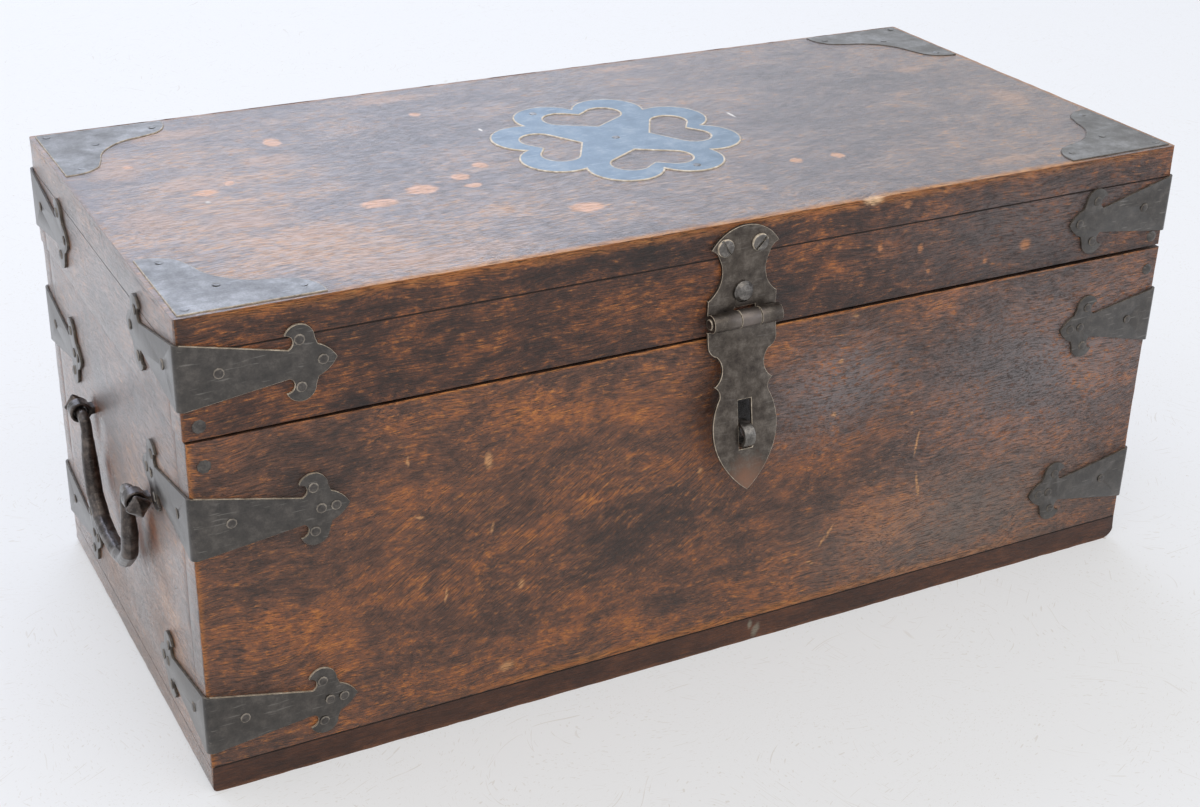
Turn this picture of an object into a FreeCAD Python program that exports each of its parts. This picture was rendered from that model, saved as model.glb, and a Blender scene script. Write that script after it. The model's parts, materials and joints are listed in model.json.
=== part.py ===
import FreeCAD, Part
import Sketcher
import os
from math import asin, atan2, cos, pi, radians, sin, sqrt
from FreeCAD import Placement, Rotation, Vector

# A wooden storage chest with a hinged lid, iron corner straps, a hasp and two drop handles.
# X runs along the length, the front face is at -Y, +Z is up, the origin is the middle of the underside.

SIZES = {
    # boards
    "chest_length": 502,
    "chest_depth": 235,
    "chest_height": 222,
    "lid_height": 52.8,
    "lid_gap": 0.9,
    "lid_shift": 0.8,
    "base_thick": 13,
    "board_thick": 14,
    "lid_top_thick": 15.6,
    "corner_round": 1.5,
    "top_round": 2.4,
    "base_end_round": 7,
    # corner straps of sheet iron, bent round every upright corner
    "strap_sheet": 1.2,
    "strap_length": 133,
    "strap_root": 28.4,
    "strap_neck": 12.4,
    "strap_petal": 20.2,
    "strap_lobe_radius": 6.4,
    "strap_lobe_rise": 10.3,
    "strap_nail_inset": 16,
    # flat corner plates and the pierced rosette on the lid
    "top_sheet": 0.8,
    "plate_leg": 63,
    "rosette_reach": 58,
    "rosette_x": 3,
    "rosette_y": 3,
    # forged nails: strap nails, small tacks of the lid plates, large spikes of the boards
    "nail_head": 4.6,
    "nail_rise": 0.6,
    "nail_shank": 1.8,
    "nail_length": 11,
    "tack_head": 3.4,
    "tack_rise": 0.5,
    "tack_shank": 1.3,
    "tack_length": 9,
    "spike_head": 5.8,
    "spike_rise": 0.7,
    "spike_shank": 2.6,
    "spike_length": 40,
    "body_spike_drop": 11.5,
    "lid_spike_rise": 6.4,
    "base_spike_inset": 85,
    # hasp, its plate and the two back hinges
    "leaf_sheet": 1.6,
    "leaf_width": 35.4,
    "leaf_waist": 22.4,
    "leaf_length": 43,
    "barrel_radius": 4.2,
    "pin_radius": 2.5,
    "pin_clearance": 0.05,
    "pin_end": 0.8,
    "knuckle_gap": 0.35,
    "hasp_pin_rise": 8.5,
    "hasp_x": 1.8,
    "hasp_length": 82,
    "hasp_bulge": 33.8,
    "hasp_tilt": 9.5,
    "slot_width": 7.2,
    "slot_length": 23.5,
    "slot_start": 38.5,
    "rivet_head": 10,
    "rivet_rise": 2.6,
    "rivet_shank": 4.4,
    "rivet_length": 11,
    "rivet_inset": 12,
    "screw_head": 8.2,
    "screw_rise": 1.4,
    "screw_shank": 3,
    "screw_length": 11,
    "screw_slot_width": 1.1,
    "screw_slot_depth": 0.8,
    "screw_spacing": 17.7,
    "screw_aside": 1.6,
    "screw_inset": 33.8,
    "hinge_spacing": 300,
    # eyes of bent bar, driven through the boards and clenched inside
    "staple_width": 5.6,
    "staple_bar": 2,
    "staple_eye_radius": 3.75,
    "staple_reach": 16,
    "staple_neck": 1,
    "staple_drop": 46.9,
    "eye_width": 7,
    "eye_bar": 1.8,
    "eye_radius": 3.2,
    "clench_length": 12,
    # drop handles
    "bail_pin_drop": 56.7,
    "bail_aside": 5,
    "bail_standoff": 6.5,
    "bail_drop": 52.5,
    "bail_half_width": 33.5,
    "bail_radius": 4.1,
    "bail_end_radius": 2.8,
    "bail_elbow": 5,
    "bail_bend": 26,
    "bail_sway": 1.5,
    "eye_from_middle": 46.8,
    "knob_radius": 5.8,
    "knob_end_radius": 4,
    "knob_length": 7,
    "knob_gap": 0.5,
    # how far a cutting shape runs past what it cuts, and how near a face an edge counts as on it
    "overrun": 1,
    "on_face": 0.5,
}

# Heights that follow from these sizes: where lid and body meet, and what hangs near that line
LEVELS = {
    "lid_line": "chest_height - lid_height",
    "hasp_pin_height": "lid_line + hasp_pin_rise",
    "staple_height": "lid_line - staple_drop",
    "bail_height": "lid_line - bail_pin_drop",
}

# Each strap is bent and nailed on by eye: the height of its bend over the lid line, or over the
# floor in the lower row, how far its front leg and its side leg sag below that, and the length of
# the front leg
STRAPS = {
    "lid_strap_front_left": (28, 2.2, 1.8, 64.5),
    "lid_strap_front_right": (23.3, 2.3, 1.5, 62.5),
    "lid_strap_back_left": (23.1, 1.2, 1, 66),
    "lid_strap_back_right": (25.3, 1.5, 0.8, 65.5),
    "body_upper_strap_front_left": (-38.9, 2.2, 0, 66.5),
    "body_upper_strap_front_right": (-37, -1.2, 0.6, 59.5),
    "body_upper_strap_back_left": (-38, 0.8, 0, 68),
    "body_upper_strap_back_right": (-38.7, 1, 0.5, 66),
    "body_lower_strap_front_left": (35.2, 2.2, 0, 66.5),
    "body_lower_strap_front_right": (40.3, 0, 0.5, 64.5),
    "body_lower_strap_back_left": (33.5, 0.6, 0, 67),
    "body_lower_strap_back_right": (36, 1.1, 0.4, 66),
}
for strap, sizes in STRAPS.items():
    SIZES.update(zip((f"{strap}_rise", f"{strap}_front_sag", f"{strap}_side_sag", f"{strap}_leg"), sizes))

# Shares of the size named beside each outline

# cosine from which an edge counts as parallel to a direction
parallel_share = 0.99
# flats hammered round the bar of a drop handle, where its elbows and bends have their corners, in
# degrees, and where its knob is widest, in knob lengths
bar_sides = 10
elbow_angles = (0, 45, 90)
bend_angles = (0, 30, 60, 90)
knob_swell_share = 0.333
# corner strap: along from the neck in lobe radii, up in lobe rises or in lobe radii
bite_share = (0.33, 0.9)
lobe_at_share = 0.73
hook_angle = 160
shoulder_share = (1.19, 0.68)
petal_share = (0.62, 0.56)
tip_nail_share = 0.3
middle_nail_share = 0.62
# corner plate, both ways in leg lengths, from the leg's end to the cusp
plate_end_share = (1, 0.1)
plate_bulge_share = (0.97, 0.21)
plate_waist_share = (0.88, 0.31)
plate_slope_share = (0.74, 0.36)
plate_nib_share = (0.6, 0.405)
plate_cusp_share = 0.49
plate_tack_shares = ((0.11, 0.11), (0.89, 0.18), (0.18, 0.89), (0.4, 0.4))
# rosette, in its reach
lobe_centre_share = (0.681, 0.281)
lobe_radius_share = 0.319
heart_point_share = 0.328
heart_centre_share = (0.62, 0.203)
heart_radius_share = 0.152
heart_notch_share = 0.664
rosette_tack_shares = ((0, 0), (-0.36, 0.84), (0.27, -0.87))
# leaf of a hinge or of the hasp's plate: across in half widths, along in leaf lengths
leaf_foot_share = 0.22
leaf_waist_share = 0.47
leaf_neck_share = (0.725, 0.66)
leaf_ear_shares = ((0.8, 0.725), (0.97, 0.775))
# hasp: across in half bulges, along in hasp lengths
hasp_shares = (
    (1.053, 0.134),
    ((0.982, 0.177), (0.805, 0.202)),
    ((0.651, 0.293), (0.9, 0.371)),
    ((0.775, 0.4), (0.757, 0.439)),
    ((1, 0.628), (0.793, 0.805)),
    ((0.473, 0.907), (0, 1)),
)
# the three knuckles of a barrel, in leaf widths from its left end
knuckle_shares = (0, 0.39, 0.69, 1)
# how far each of the hasp's screws is turned, in degrees from level
hasp_screw_turns = (-61, 48)
# a fastener's head: its sides, how high its rim is in head rises, how wide its face is in heads
HEADS = {
    "nail": (6, 0.2, 0.667),
    "tack": (6, 0.2, 0.667),
    "spike": (6, 0.2, 0.667),
    "rivet": (12, 0.15, 0.55),
    "screw": (16, 0.35, 0.75),
}

CORNERS = {
    "front_left": (-1, -1),
    "front_right": (1, -1),
    "back_left": (-1, 1),
    "back_right": (1, 1),
}
ALONG = Vector(1, 0, 0)
ACROSS = Vector(0, 1, 0)
UP = Vector(0, 0, 1)

doc = FreeCAD.newDocument("Chest")
sheet = doc.addObject("Spreadsheet::Sheet", "Sizes")
rows = list(SIZES.items()) + [(alias, "=" + expression) for alias, expression in LEVELS.items()]
for row, (alias, value) in enumerate(rows, start=1):
    sheet.set(f"A{row}", alias)
    sheet.set(f"B{row}", str(value))
    sheet.setAlias(f"B{row}", alias)
doc.recompute()
sub_parts = []


def mm(alias):
    return float(sheet.get(alias))


def evaluate(expression):
    return float(sheet.evalExpression(expression))


def name_part(obj, label):
    obj.Label = label
    sub_parts.append(obj)
    return obj


def bound(kind, name, **expressions):
    obj = doc.addObject(kind, name)
    for prop, expression in expressions.items():
        obj.setExpression(prop.replace("__", "."), expression)
    return obj


def feature(name, shape, placement=None):
    obj = doc.addObject("Part::Feature", name)
    obj.Shape = shape
    if placement:
        obj.Placement = placement
    return obj


def boolean(kind, name, base, tool):
    obj = doc.addObject(kind, name)
    obj.Base = base
    obj.Tool = tool
    return obj


def placed(shape, placement):
    moved = shape.copy()
    moved.Placement = placement.multiply(moved.Placement)
    return moved


def copies(shape, placements):
    return [placed(shape, placement) for placement in placements]


def sketch_polygon(body, name, role, points):
    # a closed outline whose every corner is held at two expressions from the body's origin
    sketch = body.newObject("Sketcher::SketchObject", name)
    plane = [o for o in body.Origin.OriginFeatures if o.Role == role][0]
    sketch.AttachmentSupport = (plane, [""])
    sketch.MapMode = "FlatFace"
    corners = [Vector(evaluate(x), evaluate(y), 0) for x, y in points]
    count = len(corners)
    for i in range(count):
        sketch.addGeometry(Part.LineSegment(corners[i], corners[(i + 1) % count]), False)
    for i in range(count):
        sketch.addConstraint(Sketcher.Constraint("Coincident", i, 2, (i + 1) % count, 1))
    for i, (x, y) in enumerate(points):
        for way, axis, expression, start in (("DistanceX", -2, x, corners[i].x), ("DistanceY", -1, y, corners[i].y)):
            if expression == "0":
                sketch.addConstraint(Sketcher.Constraint("PointOnObject", i, 1, axis))
                continue
            number = sketch.addConstraint(Sketcher.Constraint(way, -1, 1, i, 1, start))
            sketch.setExpression(f"Constraints[{number}]", expression)
    return sketch


# Boards: a rectangle seen from above, padded upwards, its outer edges eased

def board(name, along, across, tall, x, y, z):
    body = bound("PartDesign::Body", name + "_blank", Placement__Base__x=x, Placement__Base__y=y, Placement__Base__z=z)
    low_x, high_x, low_y, high_y = f"-({along}) / 2", f"({along}) / 2", f"-({across}) / 2", f"({across}) / 2"
    outline = sketch_polygon(body, name + "_outline", "XY_Plane",
                             [(low_x, low_y), (high_x, low_y), (high_x, high_y), (low_x, high_y)])
    pad = body.newObject("PartDesign::Pad", name + "_pad")
    pad.Profile = outline
    pad.setExpression("Length", tall)
    doc.recompute()
    return body


def ease(body, radius, wanted):
    base = body.Tip
    edges = [f"Edge{i}" for i, edge in enumerate(base.Shape.Edges, start=1) if wanted(edge)]
    fillet = body.newObject("PartDesign::Fillet", body.Name + "_eased")
    fillet.Base = (base, edges)
    fillet.setExpression("Radius", radius)
    doc.recompute()


def runs(edge, direction):
    if edge.Degenerated or edge.Curve.TypeId != "Part::GeomLine":
        return False
    return abs(edge.Curve.Direction.dot(direction)) > parallel_share


def upright_on(side):
    # side is -1 for the front edges, 1 for the back edges, 0 for both
    return lambda edge: runs(edge, UP) and edge.CenterOfMass.y * side >= 0


def around_sides(edge):
    # every edge of the front and back faces but the top ones
    box = edge.BoundBox
    return box.YLength < mm("on_face") and box.ZMin < mm("base_thick") - mm("on_face")


def make_boards():
    length, depth, thick = "Sizes.chest_length", "Sizes.chest_depth", "Sizes.board_thick"
    inner_depth = f"({depth} - 2 * {thick})"
    front, back = f"-({depth} - {thick}) / 2", f"({depth} - {thick}) / 2"
    wall = "(Sizes.lid_line - Sizes.lid_gap / 2 - Sizes.base_thick)"
    rail_low = "(Sizes.lid_line + Sizes.lid_gap / 2)"
    rail = f"(Sizes.chest_height - Sizes.lid_top_thick - {rail_low})"
    shift = "-Sizes.lid_shift"
    end = f"({length} - {thick}) / 2"

    base = board("base_board", length, depth, "Sizes.base_thick", "0", "0", "0")
    ease(base, "Sizes.base_end_round", lambda edge: runs(edge, ACROSS) and edge.BoundBox.ZMax < mm("on_face"))
    ease(base, "Sizes.corner_round", around_sides)
    body = {
        "base_board": base,
        "front_board": board("front_board", length, thick, wall, "0", front, "Sizes.base_thick"),
        "back_board": board("back_board", length, thick, wall, "0", back, "Sizes.base_thick"),
        "left_end_board": board("left_end_board", thick, inner_depth, wall, f"-{end}", "0", "Sizes.base_thick"),
        "right_end_board": board("right_end_board", thick, inner_depth, wall, end, "0", "Sizes.base_thick"),
    }
    top_low = "Sizes.chest_height - Sizes.lid_top_thick"
    top = board("lid_top_board", length, depth, "Sizes.lid_top_thick", shift, "0", top_low)
    ease(top, "Sizes.corner_round", upright_on(0))
    ease(top, "Sizes.top_round", lambda edge: edge.BoundBox.ZMin > mm("lid_top_thick") - mm("on_face"))
    lid = {
        "lid_top_board": top,
        "lid_front_rail": board("lid_front_rail", length, thick, rail, shift, front, rail_low),
        "lid_back_rail": board("lid_back_rail", length, thick, rail, shift, back, rail_low),
        "lid_left_rail": board("lid_left_rail", thick, inner_depth, rail, f"{shift} - {end}", "0", rail_low),
        "lid_right_rail": board("lid_right_rail", thick, inner_depth, rail, f"{shift} + {end}", "0", rail_low),
    }
    ease(body["front_board"], "Sizes.corner_round", upright_on(-1))
    ease(lid["lid_front_rail"], "Sizes.corner_round", upright_on(-1))
    ease(body["back_board"], "Sizes.corner_round", upright_on(1))
    ease(lid["lid_back_rail"], "Sizes.corner_round", upright_on(1))
    return body, lid


def drill(boards, holes, name):
    tool = feature(name, Part.makeCompound(holes))
    for label, blank in boards.items():
        name_part(boolean("Part::Cut", label + "_drilled", blank, tool), label)


# Fasteners stand head up on z = 0 with the shank below, and are turned where they are driven

def fastener(kind):
    head, rise, shank = f"Sizes.{kind}_head", f"Sizes.{kind}_rise", f"Sizes.{kind}_shank"
    sides, rim_share, face_share = HEADS[kind]
    loft = doc.addObject("Part::Loft", kind + "_head")
    rings = []
    for part, width_share, rise_share in (("foot", 1, 0), ("rim", 1, rim_share), ("face", face_share, 1)):
        ring = bound("Part::RegularPolygon", f"{kind}_{part}", Circumradius=f"{head} / 2 * {width_share}",
                     Placement__Base__z=f"{rise} * {rise_share}")
        ring.Polygon = sides
        rings.append(ring)
    loft.Sections = rings
    loft.Solid = True
    loft.Ruled = True
    stem = bound("Part::Box", kind + "_stem", Length=shank, Width=shank, Height=f"Sizes.{kind}_length",
                 Placement__Base__x=f"-{shank} / 2", Placement__Base__y=f"-{shank} / 2",
                 Placement__Base__z=f"-Sizes.{kind}_length")
    whole = boolean("Part::Fuse", kind, loft, stem)
    doc.recompute()
    return whole, stem.Shape


def slotted(whole):
    head, rise, width = "Sizes.screw_head", "Sizes.screw_rise", "Sizes.screw_slot_width"
    slot = bound("Part::Box", "screw_slot", Length=head, Width=width, Height="Sizes.screw_slot_depth + Sizes.overrun",
                 Placement__Base__x=f"-{head} / 2", Placement__Base__y=f"-{width} / 2",
                 Placement__Base__z=f"{rise} - Sizes.screw_slot_depth")
    cut = boolean("Part::Cut", "screw_slotted", whole, slot)
    doc.recompute()
    return cut


# Corner straps. In a strap's own frame the upright edge of the wood is the Z axis, one leg lies
# along +X on the face y = 0, the other along +Y on the face x = 0

def turned_leg(shape):
    return shape.mirror(Vector(), Vector(1, -1, 0))


def lobe_at(leg):
    return leg - mm("strap_petal") + lobe_at_share * mm("strap_lobe_radius")


def half_leg(leg, sag, side):
    lobe, rise = mm("strap_lobe_radius"), mm("strap_lobe_rise")
    neck_at = leg - mm("strap_petal")
    middle = lobe_at(leg)

    def point(x, z):
        return Vector(x, 0, side * z - sag)

    root = Vector(mm("corner_round"), 0, side * mm("strap_root") / 2)
    neck = point(neck_at, mm("strap_neck") / 2)
    bite = point(neck_at + bite_share[0] * lobe, bite_share[1] * rise)
    hook = point(middle + lobe * cos(radians(hook_angle)), rise + lobe * sin(radians(hook_angle)))
    crown = point(middle, rise + lobe)
    outer = point(middle + lobe, rise)
    shoulder_x, shoulder_z = middle + shoulder_share[0] * lobe, shoulder_share[1] * rise
    shoulder = point(shoulder_x, shoulder_z)
    petal = point(shoulder_x + (leg - shoulder_x) * petal_share[0], shoulder_z * petal_share[1])
    tip = point(leg, 0)
    return [
        Part.LineSegment(root, neck),
        Part.Arc(neck, bite, hook),
        Part.Arc(hook, crown, outer),
        Part.LineSegment(outer, shoulder),
        Part.Arc(shoulder, petal, tip),
    ]


def closed_face(curves):
    return Part.Face(Part.Wire(Part.__sortEdges__([curve.toShape() for curve in curves])))


def flat_leg(leg, sag):
    inner, root_half = mm("corner_round"), mm("strap_root") / 2
    root = Part.LineSegment(Vector(inner, 0, -root_half), Vector(inner, 0, root_half))
    outline = half_leg(leg, sag, 1) + half_leg(leg, sag, -1) + [root]
    return closed_face(outline).extrude(-ACROSS * mm("strap_sheet"))


def strap_shape(front, side):
    inner, outer = mm("corner_round"), mm("corner_round") + mm("strap_sheet")
    foot = Vector(inner, inner, -mm("strap_root") / 2)
    bend = Part.makeCylinder(outer, mm("strap_root"), foot, UP, 90)
    bend = bend.cut(Part.makeCylinder(inner, mm("strap_root"), foot, UP, 90))
    bend.rotate(foot, UP, 180)
    return flat_leg(*front).fuse([turned_leg(flat_leg(*side)), bend]).removeSplitter()


def leg_nail_placements(leg, sag, with_middle):
    lobe_x, rise, petal = lobe_at(leg), mm("strap_lobe_rise"), mm("strap_petal")
    places = [(mm("strap_nail_inset"), 0), (lobe_x, rise - sag), (lobe_x, -rise - sag),
              (leg - petal * tip_nail_share, -sag)]
    if with_middle:
        places.append((leg - petal * middle_nail_share, -sag))
    return [Placement(Vector(x, -mm("strap_sheet"), z), Rotation(ALONG, 90)) for x, z in places]


def corner_copy(shape, corner):
    side, face = CORNERS[corner]
    if side > 0:
        shape = shape.mirror(Vector(), ALONG)
    if face > 0:
        shape = shape.mirror(Vector(), ACROSS)
    return shape


def corner_placement(corner, shift, height):
    side, face = CORNERS[corner]
    return Placement(Vector(side * mm("chest_length") / 2 - shift, face * mm("chest_depth") / 2, height), Rotation())


def add_straps(prefix, shift, start, with_middle, nail, stem):
    driven, holes = [], []
    for corner in CORNERS:
        label = f"{prefix}_{corner}"
        leg = mm(f"{label}_leg")
        front = (leg, mm(f"{label}_front_sag"))
        side = (mm("strap_length") - leg, mm(f"{label}_side_sag"))
        front_spots = leg_nail_placements(*front, with_middle)
        side_spots = leg_nail_placements(*side, with_middle)
        stems = copies(stem, front_spots) + [turned_leg(shape) for shape in copies(stem, side_spots)]
        nails = copies(nail, front_spots) + [turned_leg(shape) for shape in copies(nail, side_spots)]
        strap = strap_shape(front, side).cut(Part.makeCompound(stems))
        spot = corner_placement(corner, shift, start + mm(f"{label}_rise"))
        name_part(feature(label, corner_copy(strap, corner), spot), label)
        driven += [placed(corner_copy(shape, corner), spot) for shape in nails]
        holes += [placed(corner_copy(shape, corner), spot) for shape in stems]
    return driven, holes


# Lid plates: a flat plate on each corner of the lid and a rosette pierced with four hearts

def plate_shape():
    leg, edge = mm("plate_leg"), mm("top_round")

    def reach(share):
        return Vector(leg * share[0], leg * share[1], 0)

    def swap(point):
        return Vector(point.y, point.x, 0)

    end, bulge, waist = reach(plate_end_share), reach(plate_bulge_share), reach(plate_waist_share)
    slope, nib, cusp = reach(plate_slope_share), reach(plate_nib_share), reach((plate_cusp_share, plate_cusp_share))
    foot, corner = Vector(leg, edge, 0), Vector(edge, edge, 0)
    curves = [
        Part.LineSegment(corner, foot),
        Part.LineSegment(foot, end),
        Part.Arc(end, bulge, waist),
        Part.LineSegment(waist, slope),
        Part.Arc(slope, nib, cusp),
        Part.Arc(cusp, swap(nib), swap(slope)),
        Part.LineSegment(swap(slope), swap(waist)),
        Part.Arc(swap(waist), swap(bulge), swap(end)),
        Part.LineSegment(swap(end), swap(foot)),
        Part.LineSegment(swap(foot), corner),
    ]
    return closed_face(curves).extrude(UP * mm("top_sheet"))


def polar(radius, angle):
    return Vector(radius * cos(angle), radius * sin(angle), 0)


def rosette_outline(reach):
    a, b = (share * reach for share in lobe_centre_share)
    radius = lobe_radius_share * reach
    axis_notch = Vector(a + sqrt(radius ** 2 - b ** 2), 0, 0)
    half_apart = (a - b) / sqrt(2)
    diagonal = (a + b) / 2 + sqrt((radius ** 2 - half_apart ** 2) / 2)
    centre = Vector(a, b, 0)
    crest = centre + polar(radius, atan2(b, a))
    lobe = Part.Arc(axis_notch, crest, Vector(diagonal, diagonal, 0)).toShape()
    pair = [lobe, lobe.mirror(Vector(), ACROSS)]
    return Part.Wire(Part.__sortEdges__([placed(e, Placement(Vector(), Rotation(UP, 90 * k)))
                                         for k in range(4) for e in pair]))


def heart_outline(reach):
    radius = heart_radius_share * reach
    centre = Vector(heart_centre_share[0] * reach, heart_centre_share[1] * reach, 0)
    point = Vector(heart_point_share * reach, 0, 0)
    notch = Vector(heart_notch_share * reach, 0, 0)
    apart = centre - point
    side_angle = atan2(apart.y, apart.x) + asin(radius / apart.Length)
    side = point + polar(sqrt(apart.Length ** 2 - radius ** 2), side_angle)
    first = side_angle + pi / 2
    last = -pi / 4
    crest = centre + polar(radius, (first + last) / 2)
    end = centre + polar(radius, last)
    half = [Part.LineSegment(point, side).toShape(), Part.Arc(side, crest, end).toShape(),
            Part.LineSegment(end, notch).toShape()]
    return Part.Wire(Part.__sortEdges__(half + [edge.mirror(Vector(), ACROSS) for edge in half]))


def rosette_shape():
    reach, thick = mm("rosette_reach"), mm("top_sheet")
    rosette = Part.Face(rosette_outline(reach)).extrude(UP * thick)
    heart = Part.Face(heart_outline(reach)).extrude(UP * thick)
    return rosette.cut(copies(heart, [Placement(Vector(), Rotation(UP, 90 * k)) for k in range(4)]))


def add_lid_plates(tack, stem):
    top = mm("chest_height")
    lift = Placement(UP * mm("top_sheet"), Rotation())
    leg, reach = mm("plate_leg"), mm("rosette_reach")
    plate_spots = [Placement(Vector(x * leg, y * leg, 0), Rotation()) * lift for x, y in plate_tack_shares]
    stems, tacks = copies(stem, plate_spots), copies(tack, plate_spots)
    plate = plate_shape().cut(Part.makeCompound(stems))
    driven, holes = [], []
    for corner in CORNERS:
        spot = corner_placement(corner, mm("lid_shift"), top)
        label = f"lid_corner_plate_{corner}"
        name_part(feature(label, corner_copy(plate, corner), spot), label)
        driven += [placed(corner_copy(shape, corner), spot) for shape in tacks]
        holes += [placed(corner_copy(shape, corner), spot) for shape in stems]
    spot = Placement(Vector(mm("rosette_x"), mm("rosette_y"), top), Rotation())
    rosette_spots = [Placement(Vector(x * reach, y * reach, 0), Rotation()) * lift for x, y in rosette_tack_shares]
    stems = copies(stem, rosette_spots)
    name_part(feature("lid_rosette", rosette_shape().cut(Part.makeCompound(stems)), spot), "lid_rosette")
    driven += copies(Part.makeCompound(copies(tack, rosette_spots)), [spot])
    holes += copies(Part.makeCompound(stems), [spot])
    return driven, holes


# Leaves with rolled knuckles. In a leaf's own frame the pin lies along X through the origin, the
# leaf rises along +Z and its back, which lies against the wood, faces +Y

def half_outline(start, steps, side):
    curves, here = [], start
    for step in steps:
        end = Vector(side * step[-1][0], 0, step[-1][1])
        if len(step) == 1:
            curves.append(Part.LineSegment(here, end))
        else:
            curves.append(Part.Arc(here, Vector(side * step[0][0], 0, step[0][1]), end))
        here = end
    return curves


def leaf_face():
    half, waist, length = mm("leaf_width") / 2, mm("leaf_waist") / 2, mm("leaf_length")
    neck = (leaf_neck_share[0] * half, leaf_neck_share[1] * length)
    ear, tip = [(across * half, along * length) for across, along in leaf_ear_shares]
    steps = [[(half, leaf_foot_share * length)], [(waist, leaf_waist_share * length), neck], [ear, tip]]
    left, right = Vector(-half, 0, 0), Vector(half, 0, 0)
    crown = Part.Arc(Vector(-tip[0], 0, tip[1]), Vector(0, 0, length), Vector(tip[0], 0, tip[1]))
    return closed_face(half_outline(right, steps, 1) + half_outline(left, steps, -1)
                       + [crown, Part.LineSegment(left, right)])


def hasp_face():
    half, length = mm("hasp_bulge") / 2, mm("hasp_length")
    steps = []
    for step in hasp_shares:
        points = step if isinstance(step[0], tuple) else (step,)
        steps.append([(across * half, along * length) for across, along in points])
    width = steps[0][0][0]
    left, right = Vector(-width, 0, 0), Vector(width, 0, 0)
    return closed_face(half_outline(right, steps, 1) + half_outline(left, steps, -1) + [Part.LineSegment(left, right)])


def knuckle_spans():
    width, gap = mm("leaf_width"), mm("knuckle_gap") / 2
    ends = [(share - 1 / 2) * width for share in knuckle_shares]
    outer = [(ends[0], ends[1] - gap), (ends[2] + gap, ends[3])]
    middle = [(ends[1] + gap, ends[2] - gap)]
    return outer, middle


def flipped(spans):
    return [(-high, -low) for low, high in spans]


def leaf_shape(face, back, own, other):
    # own and other are the spans along X of this leaf's knuckles and of the facing leaf's
    barrel, gap, run = mm("barrel_radius"), mm("knuckle_gap"), mm("overrun")
    leaf = placed(face.extrude(-ACROSS * mm("leaf_sheet")), Placement(ACROSS * back, Rotation()))
    reach = barrel + gap
    for low, high in other:
        low = low - gap if low > -mm("leaf_width") / 2 else low - run
        high = high + gap if high < mm("leaf_width") / 2 else high + run
        room = Part.makeBox(high - low, 2 * (reach + run), reach + run, Vector(low, -reach - run, -run))
        leaf = leaf.cut(room)
    for low, high in own:
        leaf = leaf.fuse(Part.makeCylinder(barrel, high - low, Vector(low, 0, 0), ALONG))
    bore = mm("pin_radius") + mm("pin_clearance")
    long = mm("leaf_width") + 2 * run
    leaf = leaf.cut(Part.makeCylinder(bore, long, Vector(-long / 2, 0, 0), ALONG))
    return leaf.removeSplitter()


def pin(name, x, y, z):
    pin = bound("Part::Cylinder", name, Radius="Sizes.pin_radius", Height="Sizes.leaf_width + 2 * Sizes.pin_end",
                Placement__Base__x=f"{x} - Sizes.leaf_width / 2 - Sizes.pin_end", Placement__Base__y=y,
                Placement__Base__z=z)
    pin.Placement = Placement(pin.Placement.Base, Rotation(ACROSS, 90))
    return pin


def leaf_seat():
    # how far the pin's axis stands off the wood
    return mm("barrel_radius") + mm("knuckle_gap")


def leaf_screw_placements():
    front = leaf_seat() - mm("leaf_sheet")
    half, aside, inset = mm("screw_spacing") / 2, mm("screw_aside"), mm("screw_inset")
    return [Placement(Vector(x - aside, front, inset), Rotation(ALONG, 90)) for x in (-half, half)]


def add_hasp(screw, screw_stem, rivet, rivet_stem):
    outer, middle = knuckle_spans()
    seat = leaf_seat()
    axis = Vector(mm("hasp_x"), -mm("chest_depth") / 2 - seat, mm("hasp_pin_height"))
    spot = Placement(axis, Rotation())
    screws = leaf_screw_placements()
    rivets = [Placement(Vector(0, seat - mm("leaf_sheet"), mm("rivet_inset")), Rotation(ALONG, 90))]
    screws = [place * Placement(Vector(), Rotation(UP, turn)) for place, turn in zip(screws, hasp_screw_turns)]
    shanks = copies(screw_stem, screws) + copies(rivet_stem, rivets)
    plate = leaf_shape(leaf_face(), seat, outer, middle).cut(Part.makeCompound(shanks))
    name_part(feature("hasp_upper_plate", plate, spot), "hasp_upper_plate")
    name_part(feature("hasp_plate_screws", Part.makeCompound(copies(screw, screws)), spot), "hasp_plate_screws")
    name_part(feature("hasp_plate_rivet", Part.makeCompound(copies(rivet, rivets)), spot), "hasp_plate_rivet")
    name_part(pin("hasp_pin", "Sizes.hasp_x",
                  "-Sizes.chest_depth / 2 - Sizes.barrel_radius - Sizes.knuckle_gap", "Sizes.hasp_pin_height"),
              "hasp_pin")
    blade = leaf_shape(hasp_face(), mm("barrel_radius"), flipped(middle), flipped(outer))
    wide, long, thick = mm("slot_width"), mm("slot_length"), mm("barrel_radius")
    blade = blade.cut(Part.makeBox(wide, thick, long, Vector(-wide / 2, mm("overrun"), mm("slot_start"))))
    hanging = Rotation(ALONG, -mm("hasp_tilt")) * Rotation(ACROSS, 180)
    name_part(feature("hasp_plate", blade, Placement(axis, hanging)), "hasp_plate")
    return copies(Part.makeCompound(shanks), [spot])


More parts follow.
